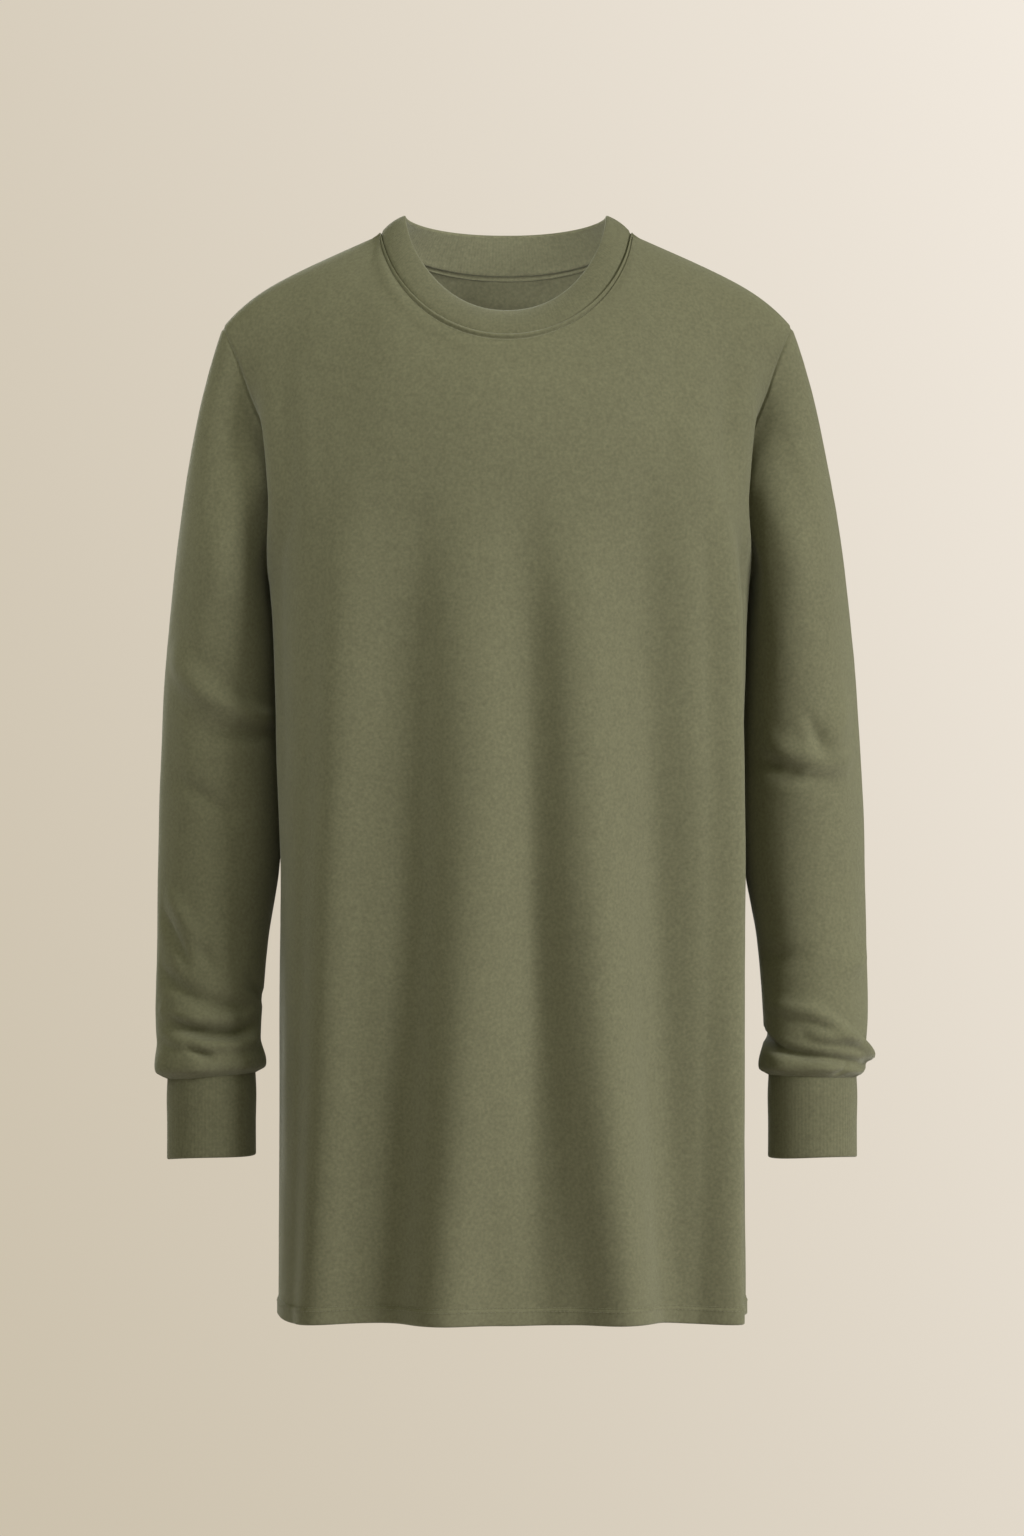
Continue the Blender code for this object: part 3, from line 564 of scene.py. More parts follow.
def evened(grid, amount):
    """The grid with bends between neighbouring columns evened out, by an amount at each point."""
    steps = np.arange(-EVEN_COLUMNS, EVEN_COLUMNS + 1)
    weights = bump(steps, EVEN_COLUMNS + 1)
    weights = weights / weights.sum()
    even = grid
    for _ in range(EVEN_PASSES):
        padded = np.concatenate([even[:, :1].repeat(EVEN_COLUMNS, 1), even,
                                 even[:, -1:].repeat(EVEN_COLUMNS, 1)], axis=1)
        even = sum(weight * padded[:, step:step + grid.shape[1]]
                   for step, weight in enumerate(weights))
    return grid + (even - grid) * amount[..., None]


def drape(share, drop, folds):
    """Height of the lengthwise folds over the plain surface."""
    height = np.zeros_like(share)
    for at_chest, at_waist, at_hem, half_width, chest_height, hem_height, start in folds:
        line = np.array([(FOLD_CHEST, at_chest), (FOLD_WAIST, at_waist), (HEM_DROP, at_hem)])
        size = np.array([(FOLD_CHEST, chest_height), (HEM_DROP, hem_height)])
        centre = smooth(line, 1, drop)
        crest = np.interp(drop, size[:, 0], size[:, 1]) * ease((drop - start) / FOLD_FADE)
        height += crest * bump(share - centre, half_width)
    return height


def edge_fold(share, drop, limit, fold):
    """Height of a fold that follows a panel's side edge, on both sides."""
    inside, half_width, crest, start, highest, end = fold
    rise = ease((drop - start) / (highest - start)) * ease((end - drop) / (end - highest))
    return crest * rise * bump(limit - inside - np.abs(share), half_width)


def crease_height(across, drop, creases, unit_across=MILLIMETRE):
    """Height of creases, each a path of rows: across, drop, half width, height."""
    scale = (unit_across, MILLIMETRE, MILLIMETRE, MILLIMETRE)
    height = np.zeros_like(across)
    for crease in creases:
        rows = np.array([(*row, 0.0)[:4] for row in crease]) * scale
        stations = np.arange(len(rows), dtype=float)
        table = np.column_stack([stations, rows])
        fine = np.linspace(0.0, stations[-1], CREASE_STEPS * (len(rows) - 1) + 1)
        path = np.column_stack([smooth(table, column, fine) for column in range(1, 5)])
        margin = path[:, 2].max()
        near = ((across > path[:, 0].min() - margin) & (across < path[:, 0].max() + margin)
                & (drop > path[:, 1].min() - margin) & (drop < path[:, 1].max() + margin))
        spot = np.stack([across[near], drop[near]], axis=-1)
        closest = np.full(len(spot), np.inf)
        lift = np.zeros(len(spot))
        for start, end in zip(path[:-1], path[1:]):
            run = end[:2] - start[:2]
            along = np.clip((spot - start[:2]) @ run / (run @ run), 0.0, 1.0)
            distance = np.linalg.norm(spot - start[:2] - along[:, None] * run, axis=1)
            half_width, crest = (start[2:] + along[:, None] * (end - start)[2:]).T
            nearer = distance < closest
            closest = np.where(nearer, distance, closest)
            lift = np.where(nearer, crest * bump(distance, half_width), lift)
        height[near] += lift
    return height


def ripple(across, down, seed):
    """Fine unevenness of the cloth."""
    dice = np.random.default_rng(seed)
    height = np.zeros_like(across)
    for size, crest, stretch in RIPPLES:
        for _ in range(RIPPLE_WAVES):
            turn, phase = dice.uniform(0.0, 2 * math.pi, 2)
            wave = 2 * math.pi / size * dice.uniform(*RIPPLE_SPREAD)
            height += RIPPLE_SHARE * crest * np.sin(
                phase + wave * (math.cos(turn) * across + stretch * math.sin(turn) * down))
    return height


def at_seam(distance):
    """Share of a seam's pull, by the distance from it."""
    return 1.0 - ease(distance / SEAM_REACH)


class Sheet:
    """A grid of points with what its wall and its cloth need."""

    def __init__(self, grid, closed, facing=1.0):
        self.grid = grid
        self.closed = closed
        self.facing = facing
        self.normal = normals(grid, closed) * facing
        self.thickness = np.full(grid.shape[:2], CLOTH)

    def turn_to(self, edge_normal, distance, part=slice(None)):
        """Turn the normals near a seam to the seam's own, in all columns or in a part."""
        near = at_seam(distance[:, part])[..., None]
        self.normal[:, part] = unit(self.normal[:, part] * (1.0 - near) + edge_normal * near)

    def raise_by(self, height):
        """Move the sheet along its normals."""
        self.grid = self.grid + self.normal * height[..., None]


def panel(side, folds, creases):
    """A body panel with its folds: the sheet, and distances from its top and side edges."""
    across = panel_columns()
    falls = yoke_falls(across, side)
    limits = reach(falls, side)
    yoke_share = limits * across[None, :]
    upper = yoke(yoke_share, falls, side)
    drops = body_drops()
    lower_share = np.broadcast_to(across[None, :], (len(drops), len(across)))
    lower = torso(lower_share, drops[:, None], side)
    if side == FRONT:
        rise = HEM_RISE_FRONT * np.cos(lower_share * math.pi / 2) ** 2
        lower[..., 2] += rise * ease((drops[:, None] - UNDERARM_DROP) / (HEM_DROP - UNDERARM_DROP))
    waves = sum(lift * bump(lower[..., 0] - at, half_width)
                for at, half_width, lift in HEM_WAVES)
    lower[..., 2] += waves * ease(1.0 - (HEM_DROP - drops[:, None]) / HEM_WAVE_REACH)
    grid = np.concatenate([upper, lower])
    share = np.concatenate([yoke_share, lower_share])
    limit = np.concatenate([limits, np.ones(lower_share.shape)])
    amount = past(lengths(grid, 0), EVEN_TOP)
    amount *= 1.0 - past(np.abs(share), EVEN_SHARE)
    amount *= 1.0 - past(-grid[..., 2], EVEN_DROP)
    grid = evened(grid, amount)
    drop = -grid[..., 2]
    height = drape(share, drop, folds)
    merged = 1.0 - (1.0 - limit) * ease((UNDERARM_DROP - drop) / EDGE_MERGE)
    for fold in (ARMHOLE_FOLD, ARMHOLE_TROUGH, SIDE_TROUGH):
        height += edge_fold(share, drop, merged, fold[side])
    from_left = lengths(grid, 1)
    from_side = np.minimum(from_left, from_left[:, -1:] - from_left)
    from_top = lengths(grid, 0)
    detail = crease_height(grid[..., 0], drop, creases)
    detail += ripple(share * HALF_GIRTH, drop, SEEDS[side])
    height += detail * ease(from_side / CALM) * ease(from_top / CALM)
    outward = mended(normals(grid, False), grid, len(falls) - 1) * -side
    # Both panels face straight sideways where they meet at the side seams.
    sideways = 1.0 - ease(from_side / SIDE_TURN)
    sideways *= past(drop, (UNDERARM_DROP - SIDE_TURN_RISE, SIDE_TURN_RISE))
    outward[..., 1] *= 1.0 - sideways
    outward = unit(outward)
    sheet = Sheet(grid + outward * height[..., None], False, -side)
    sheet.normal = mended(sheet.normal, sheet.grid, len(falls) - 1)
    sheet.from_top = from_top
    sheet.from_side = from_side
    sheet.from_hem = from_top[-1:] - from_top
    sheet.yoke_rows = len(falls) - 1
    sheet.around = share * HALF_GIRTH
    return sheet


# ---- sleeves, cuffs and collar
def armhole(front_edge, back_edge, rows):
    """Armhole ring: from the underarm up the front edge to the tip, and down the back edge."""
    return np.concatenate([front_edge[rows::-1], back_edge[1:rows]])


def ring_turns():
    """Angle of each line of the sleeve: 0 underarm, 90 degrees front, 180 outside, 270 behind."""
    edge = panel_columns()[-1:]
    ahead, behind = (math.pi * (1.0 - yoke_falls(edge, side)[:, 0]) ** (1.0 / RING_CROWDING)
                     for side in (FRONT, BACK))
    return np.concatenate([ahead[::-1], 2 * math.pi - behind[1:-1]])


def sleeve_stations():
    """Stations of the sleeve's rows, closer together at the armhole and at the cuff."""
    end = len(SLEEVE) - 1.0 - np.array(SLEEVE_END)
    middle = np.linspace(SLEEVE_START[-1], end[0], SLEEVE_ROWS + 1)[1:-1]
    return np.concatenate([SLEEVE_START, middle, end])


def sleeve(ring, turns, creases, tilt, seed):
    """The left sleeve, from its armhole ring to the cuff seam."""
    stations = sleeve_stations()
    table = np.column_stack([np.arange(len(SLEEVE)), SLEEVE])
    inner_x, inner_drop, outer_x, outer_drop, middle, depth = (
        smooth(table, column, stations)[:, None] for column in range(1, 7))
    turn = turns[None, :]
    out = 0.5 - 0.5 * np.cos(turn)
    grid = point(inner_x + (outer_x - inner_x) * out,
                 middle - depth * np.sin(turn),
                 -(inner_drop + (outer_drop - inner_drop) * out))
    own_shape = 1.0 - ease(stations / SLEEVE_BLEND)
    grid = grid + own_shape[:, None, None] * (ring - grid[0])[None]
    from_top = lengths(grid, 0)
    from_end = from_top[-1:] - from_top
    drop = -grid[..., 2]
    angle = np.degrees(np.broadcast_to(turn, drop.shape))
    scale = SLEEVE_GIRTH / 360.0
    detail = ripple(angle * scale, drop, seed)
    for lap in (-360.0, 0.0, 360.0):
        detail += SLEEVE_CREASE_LIFT * crease_height((angle + lap) * scale, drop,
                                                     creases + CAP_CREASES, scale)
    height = detail * ease(from_top / CALM) * ease(from_end / SLEEVE_END_CALM)
    height += bloom(from_end, angle)
    grid = grid + normals(grid, True) * height[..., None]
    tilt = tilt * (1.0 - ease(from_end / TILT_REACH))
    grid[..., 2] -= tilt * (grid[..., 0] - CUFF_CENTRE[0])
    sheet = Sheet(grid, True)
    sheet.from_top = from_top
    sheet.from_end = from_end
    sheet.around = np.append(turns, 2 * math.pi) * SLEEVE_GIRTH / (2 * math.pi)
    return sheet


def bloom(from_end, angle):
    """How the sleeve's end balloons over the cuff, unevenly round it."""
    fall = past(from_end, (BLOOM_PEAK, BLOOM_LENGTH - BLOOM_PEAK))
    uneven = 1.0 + sum(share * np.sin(lobes * np.radians(angle) + turn)
                       for lobes, turn, share in BLOOM_WAVES)
    return (BLOOM_HEIGHT * ease(from_end / BLOOM_PEAK) * (1.0 - fall) * uneven
            - BLOOM_TUCK * (1.0 - ease(from_end / BLOOM_TUCK_LENGTH)))


def cuff(tilt):
    """The left cuff."""
    shares = np.linspace(0.0, 1.0, CUFF_ROWS + 1)
    turn = np.linspace(0.0, 2 * math.pi, CUFF_COLUMNS, endpoint=False)[None, :]
    half_width = smooth(CUFF, 1, shares)[:, None]
    half_depth = smooth(CUFF, 2, shares)[:, None]
    drop = CUFF_TOP_DROP - CUFF_OVERLAP + shares[:, None] * (CUFF_END_DROP - CUFF_TOP_DROP)
    crest, number, shift = CUFF_WAVE
    wave = crest * np.sin(number * turn + shift) * shares[:, None]
    aside = -half_width * np.cos(turn)
    grid = point(CUFF_CENTRE[0] + aside, CUFF_CENTRE[1] - half_depth * np.sin(turn),
                 -drop - wave - tilt * aside)
    sheet = Sheet(grid, True)
    sheet.thickness[:] = RIB
    girth = 2 * math.pi * math.sqrt((CUFF[0, 1] ** 2 + CUFF[0, 2] ** 2) / 2)
    sheet.around = np.linspace(0.0, girth, CUFF_COLUMNS + 1)
    return sheet


def collar():
    """The collar band, from its free edge down to its seam."""
    half = np.linspace(-math.pi / 2, math.pi / 2, 2 * NECK_STEPS + 1)
    # The ring runs centre back, wearer's right, centre front, wearer's left.
    turn = np.concatenate([half[::-1], half[1:-1]])
    side = np.concatenate([-np.ones(len(half)), np.ones(len(half) - 2)])
    top, seam = (neck_line(turn, line) for line in (COLLAR_EDGE, COLLAR_SEAM))
    for ring in (top, seam):
        ring[:, 0] *= side
    shares = np.linspace(0.0, 1.0, COLLAR_ROWS + 1)[:, None, None]
    grid = top[None] * (1.0 - shares) + seam[None] * shares
    bulge = COLLAR_BULGE * 4.0 * shares[..., 0] * (1.0 - shares[..., 0])
    sheet = Sheet(grid + normals(grid, True) * bulge[..., None], True)
    sheet.thickness[:] = RIB
    from_top = lengths(grid, 0)
    sheet.from_seam = from_top[-1:] - from_top
    steps = np.linalg.norm(np.roll(seam, -1, axis=0) - seam, axis=1)
    sheet.around = np.concatenate([[0.0], np.cumsum(steps)])
    return sheet


# ---- seams
def welt(distance):
    """Profile of the stitched-down collar seam, by the distance from the seam."""
    plateau = ease(distance / WELT_RISE)
    plateau *= 1.0 - past(distance, (WELT_WIDTH - WELT_FALL, WELT_FALL))
    groove = bump(distance - WELT_WIDTH, WELT_GROOVE_WIDTH)
    beyond, half_width, crest = WELT_LIP
    lip = bump(distance - WELT_WIDTH - beyond, half_width)
    return WELT_HEIGHT * plateau - WELT_GROOVE * groove + crest * lip


def sew_body(front, back, band, sleeves):
    """Give the pieces one direction along each seam that they share, and roll them in to it."""
    rows = front.yoke_rows
    centre = front.grid.shape[1] // 2
    across = np.arange(-NECK_STEPS, NECK_STEPS + 1)
    shoulders = unit(front.normal[0] + back.normal[0])
    on_band = band.normal[-1].copy()
    for sheet, index in ((front, 2 * NECK_STEPS + across), (back, -across % band.grid.shape[1])):
        edge = shoulders.copy()
        edge[centre + across] = unit(sheet.normal[0, centre + across] + band.normal[-1, index])
        on_band[index] = edge[centre + across]
        sheet.turn_to(edge[None], sheet.from_top)
    band.turn_to(on_band[None], band.from_seam)
    for name, column, flip in (("left", -1, 1.0), ("right", 0, -1.0)):
        mirror = np.array((flip, 1.0, 1.0))
        tube = sleeves[name]
        on_body = armhole(front.normal[:, column], back.normal[:, column], rows) * mirror
        shared = unit(on_body + tube.normal[0])
        side_seam = unit(front.normal[rows + 1:, column] + back.normal[rows + 1:, column])
        front_edge = np.concatenate([shared[rows::-1] * mirror, side_seam])
        back_edge = np.concatenate([[shared[rows]], shared[rows + 1:], [shared[0]]]) * mirror
        back_edge = np.concatenate([back_edge, side_seam])
        half = slice(None, centre) if name == "right" else slice(centre, None)
        for sheet, edge in ((front, front_edge), (back, back_edge)):
            sheet.turn_to(edge[:, None], sheet.from_side, half)
        tube.turn_to(shared[None], tube.from_top)
        tube.raise_by(-SEAM_DEPTH * at_seam(tube.from_top))
    for sheet in (front, back):
        off_neck = np.abs(np.arange(sheet.grid.shape[1]) - centre) - NECK_STEPS
        fade = np.clip(1.0 - off_neck / WELT_COLUMNS, 0.0, 1.0)
        hem = 1.0 - past(sheet.from_hem, (HEM_DEPTH - HEM_STEP_WIDTH / 2, HEM_STEP_WIDTH))
        sheet.raise_by(HEM_STEP_HEIGHT * hem + welt(sheet.from_top) * fade
                       - SEAM_DEPTH * at_seam(np.minimum(sheet.from_side, sheet.from_top)))
        sheet.thickness += (HEM_CLOTH - CLOTH) * hem
        gain = ease(sheet.from_top / WELT_EDGE) * (
            1.0 - past(sheet.from_top, (WELT_WIDTH - WELT_EDGE, WELT_EDGE)))
        sheet.thickness += WELT_CLOTH * gain * (off_neck <= 0)
    band.raise_by(-WELT_DEPTH * at_seam(band.from_seam))


# ---- meshes
def leaning(points):
    """The garment's slight sideways hang."""
    points = points.copy()
    points[..., 0] += smooth(LEAN, 1, -points[..., 2])
    return points


def mirrored(sheet):
    """The same sheet for the wearer's right, with its columns still running the same way."""
    flip = np.array((-1.0, 1.0, 1.0))
    sheet.grid = sheet.grid[:, ::-1] * flip
    sheet.normal = sheet.normal[:, ::-1] * flip
    sheet.thickness = sheet.thickness[:, ::-1]
    sheet.around = sheet.around[-1] - sheet.around[::-1]
    return sheet


def placed(name, data, place=(0.0, 0.0, 0.0)):
    """A new object in the scene."""
    made = bpy.data.objects.new(name, data)
    made.location = place
    bpy.context.scene.collection.objects.link(made)
    return made


def smooth_mesh(name, points, faces, material):
    """A smooth mesh of one material, which leans with the garment."""
    mesh = bpy.data.meshes.new(name)
    mesh.from_pydata(leaning(points).reshape(-1, 3).tolist(), [], faces)
    mesh.shade_smooth()
    mesh.materials.append(material)
    return placed(name, mesh)


def rolled(sheet, row, towards):
    """Points round the rolled edge at one end of a sheet, from its outside to its inside."""
    edge = sheet.grid[row]
    normal = sheet.normal[row]
    away = edge - sheet.grid[towards]
    away = unit(away - normal * np.sum(away * normal, axis=-1, keepdims=True))
    half = sheet.thickness[row][:, None] / 2
    angles = np.linspace(0.0, math.pi, CAP_STEPS + 2)[1:-1]
    return [edge + half * (normal * math.cos(angle) + away * math.sin(angle)) for angle in angles]


def wall(name, sheet, material):
    """Thicken a sheet into a closed wall of cloth with rolled ends, and lay out its knit."""
    rows, columns = sheet.grid.shape[:2]
    half = sheet.normal * sheet.thickness[..., None] / 2
    lines = np.concatenate([sheet.grid + half, rolled(sheet, -1, -2), (sheet.grid - half)[::-1],
                            rolled(sheet, 0, 1)[::-1]])
    source = np.concatenate([np.arange(rows), np.full(CAP_STEPS, rows - 1),
                             np.arange(rows)[::-1], np.zeros(CAP_STEPS, int)])
    around = np.broadcast_to(sheet.around, (rows, np.shape(sheet.around)[-1]))[source]
    down = lengths(sheet.grid, 0)[source]
    row = np.arange(len(lines))[:, None]
    below = (row + 1) % len(lines)
    column = np.arange(columns if sheet.closed else columns - 1)[None, :]
    corners = [(row, column), (below, column), (below, column + 1), (row, column + 1)]
    faces = np.stack([line * columns + at % columns for line, at in corners], axis=-1)
    faces = faces.reshape(-1, 4).tolist()
    places = np.stack([np.stack([around[line, at], down[line, at % columns]], axis=-1)
                       for line, at in corners], axis=2).reshape(-1, 2)
    if not sheet.closed:
        inside = 2 * rows + CAP_STEPS - 1
        for edge in (0, columns - 1):
            for line in range(rows - 1):
                face = [at * columns + edge
                        for at in (line, line + 1, inside - line - 1, inside - line)]
                faces.append(face[::-1] if edge == 0 else face)
        places = np.concatenate([places, np.zeros((8 * (rows - 1), 2))])
    if sheet.facing < 0:
        faces = [face[::-1] for face in faces]
        places = places.reshape(-1, 4, 2)[:, ::-1].reshape(-1, 2)
    piece = smooth_mesh(name, lines, faces, material)
    layer = piece.data.uv_layers.new(name="knit")
    layer.data.foreach_set("uv", places.astype(np.float32).ravel())
    return piece


def traced(at, run, values):
    """Points or directions at some distances along a run."""
    return np.stack([np.interp(at, run, values[:, axis]) for axis in range(3)], axis=-1)


def stitch_run(sheet, distance, at, columns):
    """Outer points and normals of a line of stitches, at one distance from an edge."""
    points = []
    ways = []
    outer = sheet.grid + sheet.normal * sheet.thickness[..., None] / 2
    for column in columns:
        order = np.argsort(distance[:, column])
        measure = distance[order, column]
        points.append(traced(at, measure, outer[order, column]))
        ways.append(traced(at, measure, sheet.normal[order, column]))
    return np.array(points), unit(np.array(ways))


def stitches(name, runs, material):
    """Rows of short threads along the given runs of points."""
    verts = []
    faces = []
    bend = np.linspace(-1.0, 1.0, STITCH_RINGS)
    dive = bend ** STITCH_BEND
    lift = STITCH_RADIUS * (STITCH_LIFT[0] - STITCH_LIFT[1] * dive)
    slim = 1.0 - STITCH_SLIM * dive
    sides = np.linspace(0.0, 2 * math.pi, STITCH_SIDES, endpoint=False)
    for points, ways in runs:
        run = lengths(points, 0)
        for centre in np.arange(STITCH_PITCH / 2, run[-1], STITCH_PITCH):
            at = centre + bend * STITCH_LENGTH / 2
            middle = traced(at, run, points)
            up = unit(traced(at, run, ways))
            along = unit(middle[-1] - middle[0])
            aside = unit(np.cross(along, up))
            spine = middle + up * lift[:, None]
            rings = (spine[:, None] + STITCH_RADIUS * slim[:, None, None]
                     * (up[:, None] * np.sin(sides)[None, :, None]
                        + aside[:, None] * np.cos(sides)[None, :, None]))
            start = len(verts) * STITCH_RINGS * STITCH_SIDES
            verts.append(rings)
            for ring in range(STITCH_RINGS - 1):
                for side in range(STITCH_SIDES):
                    near = start + ring * STITCH_SIDES
                    beside = (side + 1) % STITCH_SIDES
                    faces.append((near + side, near + beside,
                                  near + STITCH_SIDES + beside, near + STITCH_SIDES + side))
            far = start + (STITCH_RINGS - 1) * STITCH_SIDES
            faces.append(tuple(start + side for side in reversed(range(STITCH_SIDES))))
            faces.append(tuple(far + side for side in range(STITCH_SIDES)))
    return smooth_mesh(name, np.array(verts), faces, material)


# ---- materials
class Nodes:
    """A node tree, with short calls for the nodes that the looks need."""

    def __init__(self, tree, last):
        self.tree = tree
        self.last = tree.nodes[last]

    def feed(self, node, inputs):
        """Set a node's inputs to numbers, colours or other nodes' outputs."""
        for socket, value in dict(inputs).items():
            if isinstance(value, bpy.types.NodeSocket):
                self.tree.links.new(value, node.inputs[socket])
            else:
                node.inputs[socket].default_value = value

    def node(self, kind, inputs=(), output=0, **settings):
        """One output of a new node, which has these inputs and settings."""
        made = self.tree.nodes.new("ShaderNode" + kind)
        for name, value in settings.items():
            setattr(made, name, value)
        self.feed(made, inputs)
        return made.outputs[output]

    def math(self, operation, *values):
        """One step of arithmetic."""
        return self.node("Math", dict(enumerate(values)), operation=operation)

    def noise(self, place, scale, detail):
        """Cloudy pattern from 0 to 1."""
        return self.node("TexNoise", {"Vector": place, "Scale": scale,
                                                "Detail": detail}, "Fac")

    def spread(self, value, low, high, sides="To"):
        """A factor from 0 to 1 spread from low to high, or with "From" the other way round."""
        return self.node("MapRange", {"Value": value, sides + " Min": low,
                                                sides + " Max": high})

    def mix(self, factor, first, second, **settings):
        """Two colours mixed."""
        return self.node("Mix", {"Factor": factor, "A": first, "B": second}, "Result",
                         data_type="RGBA", **settings)

    def shade(self, colour, factor, strength):
        """The colour lightened and darkened by a factor from 0 to 1."""
        grey = self.spread(factor, 1.0 - strength, 1.0 + strength)
        return self.mix(1.0, colour, grey, blend_type="MULTIPLY")

    def bump(self, height, relief, inputs=()):
        """Normals of a relief."""
        return self.node("Bump", {"Height": height, "Distance": relief[0],
                                            "Strength": relief[1], **dict(inputs)})


def painted(name):
    """A new material, its nodes, and places on the object."""
    material = bpy.data.materials.new(name)
    material.use_nodes = True
    nodes = Nodes(material.node_tree, "Principled BSDF")
    return material, nodes, nodes.node("TexCoord", output="Object")


def knit(name, colour, rib):
    """Matt cotton knit: rows of small V loops, on fine ribs if asked, with painted shade in their
    hollows and uneven dye.
    """
    material, nodes, place = painted(name)
    flat = {0: nodes.node("UVMap", output="UV", uv_map="knit")}
    run, rise = (nodes.node("SeparateXYZ", flat, axis) for axis in "XY")
    wale = nodes.math("FRACT", nodes.math("DIVIDE", run, WALE))
    leg = nodes.math("MULTIPLY", nodes.math("ABSOLUTE", nodes.math("SUBTRACT", wale, 0.5)), 2.0)
    slant = nodes.math("SUBTRACT", nodes.math("DIVIDE", rise, COURSE),
                       nodes.math("MULTIPLY", leg, 0.5))
    loop = nodes.math("SINE", nodes.math("MULTIPLY", slant, 2 * math.pi))
    column = nodes.math("SINE", nodes.math("MULTIPLY", leg, math.pi))
    height = nodes.math("MULTIPLY", column,
                        nodes.math("MULTIPLY_ADD", loop, LOOP_SHARE, 1.0 - LOOP_SHARE))
    fibre = nodes.math("MULTIPLY", nodes.noise(place, *FIBRE), FIBRE_SHARE)
    height = nodes.math("ADD", height, fibre)
    normal = nodes.bump(height, KNIT_RELIEF_PAINTED_SHADE)
    # Painted shade and highlight: the colour darkens where the loops' relief is low and lightens
    # where it is high.
    tone = nodes.shade((*colour, 1.0), height, KNIT_RELIEF_PAINTED_SHADE[2])
    if rib:
        turn = nodes.math("MULTIPLY", run, 2 * math.pi / RIB_PITCH)
        ridge = nodes.math("MULTIPLY_ADD", nodes.math("COSINE", turn), 0.5, 0.5)
        normal = nodes.bump(ridge, RIB_RELIEF_PAINTED_SHADE, {"Normal": normal})
        # Painted shade and highlight: the colour darkens in the grooves between the ribs and
        # lightens on them.
        tone = nodes.shade(tone, ridge, RIB_RELIEF_PAINTED_SHADE[2])
    for scale, detail, strength in TONES:
        tone = nodes.shade(tone, nodes.noise(place, scale, detail), strength)
    rough = nodes.spread(nodes.noise(place, *ROUGH_PATTERN), *CLOTH_ROUGHNESS)
    nodes.feed(nodes.last, {**CLOTH_LOOK, "Base Color": tone, "Roughness": rough,
                            "Normal": normal})
    return material


def thread(name):
    """Sewing thread, a shade lighter than the cloth."""
    material, nodes, place = painted(name)
    twist = nodes.noise(place, *THREAD_TWIST)
    # Painted shade and highlight: the thread's colour darkens and lightens with the height of its
    # twist.
    nodes.feed(nodes.last, {**CLOTH_LOOK, "Roughness": THREAD_ROUGHNESS,
                            "Base Color": nodes.shade((*OLIVE_THREAD, 1.0), twist,
                                                      THREAD_RELIEF_PAINTED_SHADE[2]),
                            "Normal": nodes.bump(twist, THREAD_RELIEF_PAINTED_SHADE)})
    return material


# ---- room
def surroundings():
    """A pale wall with painted light, brighter to one side, and the light that it throws on the
    cloth.
    """
    world = bpy.data.worlds.new("pale_room")
    world.use_nodes = True
    bpy.context.scene.world = world
    nodes = Nodes(world.node_tree, "Background")
    way = nodes.node("TexCoord", output="Generated")
    seen = nodes.node("LightPath", output="Is Camera Ray")
    side, height = (nodes.node("VectorMath", {0: way, 1: tilt}, "Value",
                               operation="DOT_PRODUCT")
                    for tilt in (PAINTED_LIGHT_TILT, (0.0, 0.0, AMBIENT * AMBIENT_TILT)))
    # Painted light: the wall's colour seen by the camera grows lighter to the right and upwards.
    painted_light = nodes.math("POWER", nodes.spread(side, -PAINTED_LIGHT_REACH, PAINTED_LIGHT_REACH, "From"), PAINTED_LIGHT_BEND)
    colour = nodes.mix(seen, AMBIENT_COLOUR, nodes.mix(painted_light, PAINTED_WALL_SHADE, PAINTED_WALL_LIGHT))
    strength = nodes.spread(seen, nodes.math("ADD", height, AMBIENT), 1.0)
    nodes.feed(nodes.last, {"Color": colour, "Strength": strength})


def lights():
    """Soft lights, and a faint one for what the pale room throws into the neck."""
    for name, place, aim, size, power, spread in LAMPS:
        light = bpy.data.lights.new(name, "AREA")
        light.size = size
        light.energy = power
        light.spread = math.radians(spread)
        way = Vector(aim) - Vector(place)
        placed(name, light, place).rotation_euler = way.to_track_quat("-Z", "Y").to_euler()
    glow = bpy.data.lights.new("neck_glow", "POINT")
    glow.shadow_soft_size = NECK_LIGHT_SIZE
    glow.energy = NECK_LIGHT_POWER
    placed("neck_glow", glow, NECK_LIGHT_PLACE).visible_camera = False


def room():
    """Pale surroundings with painted light on the wall, a plain floor, the lights and the camera.
    """
    scene = bpy.context.scene
    scene.view_settings.view_transform = "Standard"
    surroundings()
    lights()
    bpy.ops.mesh.primitive_circle_add(vertices=FLOOR_CORNERS, radius=FLOOR_RADIUS,
                                      fill_type="NGON", location=(0.0, 0.0, -FLOOR_DROP))
    floor = bpy.context.object
    floor.name = "floor"
    material, nodes, place = painted("floor_plaster")
    scale, detail, strength = FLOOR_TONE
    tone = nodes.shade(FLOOR_COLOUR, nodes.noise(place, scale, detail), strength)
    nodes.feed(nodes.last, {"Base Color": tone, "Roughness": FLOOR_ROUGHNESS})
    floor.data.materials.append(material)

    camera = bpy.data.cameras.new("camera")
    camera.lens = CAMERA_LENS
    camera.sensor_width = CAMERA_SENSOR
    scene.camera = placed("camera", camera, CAMERA_PLACE)
    scene.camera.rotation_euler = (math.pi / 2, 0.0, 0.0)


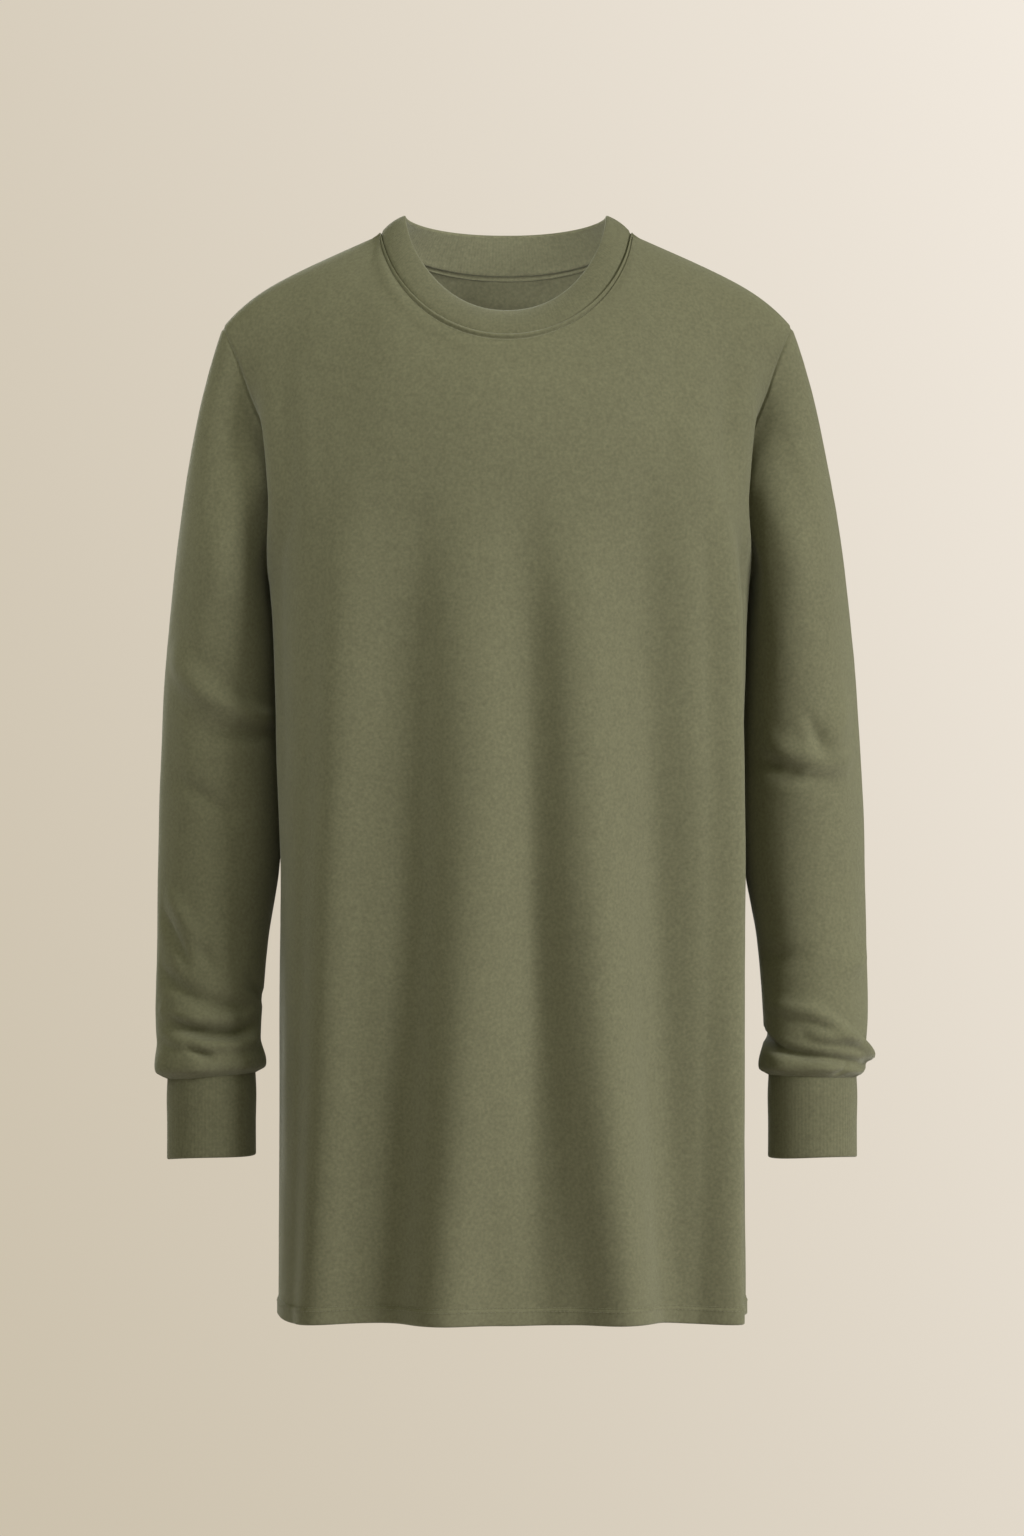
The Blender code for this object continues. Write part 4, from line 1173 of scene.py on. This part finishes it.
# ---- garment
def garment():
    """Make every piece of the garment and say what it is."""
    front = panel(FRONT, FRONT_FOLDS, FRONT_CREASES)
    back = panel(BACK, BACK_FOLDS, BACK_CREASES)
    band = collar()
    turns = ring_turns()
    sleeves = {}
    for name, column, flip, creases in (("left", -1, 1.0, LEFT_SLEEVE_CREASES),
                                        ("right", 0, -1.0, RIGHT_SLEEVE_CREASES)):
        ring = armhole(front.grid[:, column], back.grid[:, column], front.yoke_rows)
        ring = ring * np.array((flip, 1.0, 1.0))
        sleeves[name] = sleeve(ring, turns, creases, CUFF_TILT[name], SEEDS[name])
    sew_body(front, back, band, sleeves)

    rib = knit("rib_knit", OLIVE_RIB, True)
    jersey = knit("jersey", OLIVE, False)
    pieces = {
        "front": wall("front_cloth", front, jersey),
        "back": wall("back_cloth", back, jersey),
        "collar": wall("collar_rib", band, rib),
    }
    for name in ("left", "right"):
        tube = sleeves[name]
        end = cuff(CUFF_TILT[name])
        if name == "right":
            tube = mirrored(tube)
            end = mirrored(end)
        pieces["sleeve_" + name] = wall("sleeve_" + name + "_cloth", tube, jersey)
        pieces["cuff_" + name] = wall("cuff_" + name + "_rib", end, rib)

    yarn = thread("thread")
    centre = front.grid.shape[1] // 2
    neck = range(centre - NECK_STEPS, centre + NECK_STEPS + 1)
    every = range(front.grid.shape[1])
    neck_runs = [stitch_run(sheet, sheet.from_top, WELT_WIDTH, neck) for sheet in (front, back)]
    hem_runs = [stitch_run(sheet, sheet.from_hem, line, every)
                for sheet in (front, back) for line in HEM_STITCH_LINES]
    sewing = {
        "front": [stitches("neck_stitches", neck_runs, yarn),
                  stitches("hem_stitches", hem_runs, yarn)],
    }
    return pieces, sewing


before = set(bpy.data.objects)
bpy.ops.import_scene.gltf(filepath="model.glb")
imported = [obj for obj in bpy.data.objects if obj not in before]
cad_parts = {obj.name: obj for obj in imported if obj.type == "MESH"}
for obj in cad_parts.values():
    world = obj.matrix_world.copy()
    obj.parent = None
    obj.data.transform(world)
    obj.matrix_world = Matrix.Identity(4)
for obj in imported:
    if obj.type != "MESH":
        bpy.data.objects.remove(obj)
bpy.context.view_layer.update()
room()
pieces, sewing = garment()
for node, piece in pieces.items():
    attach(piece, "root")
    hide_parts(node)
for extras in sewing.values():
    for extra in extras:
        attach(extra, "root")
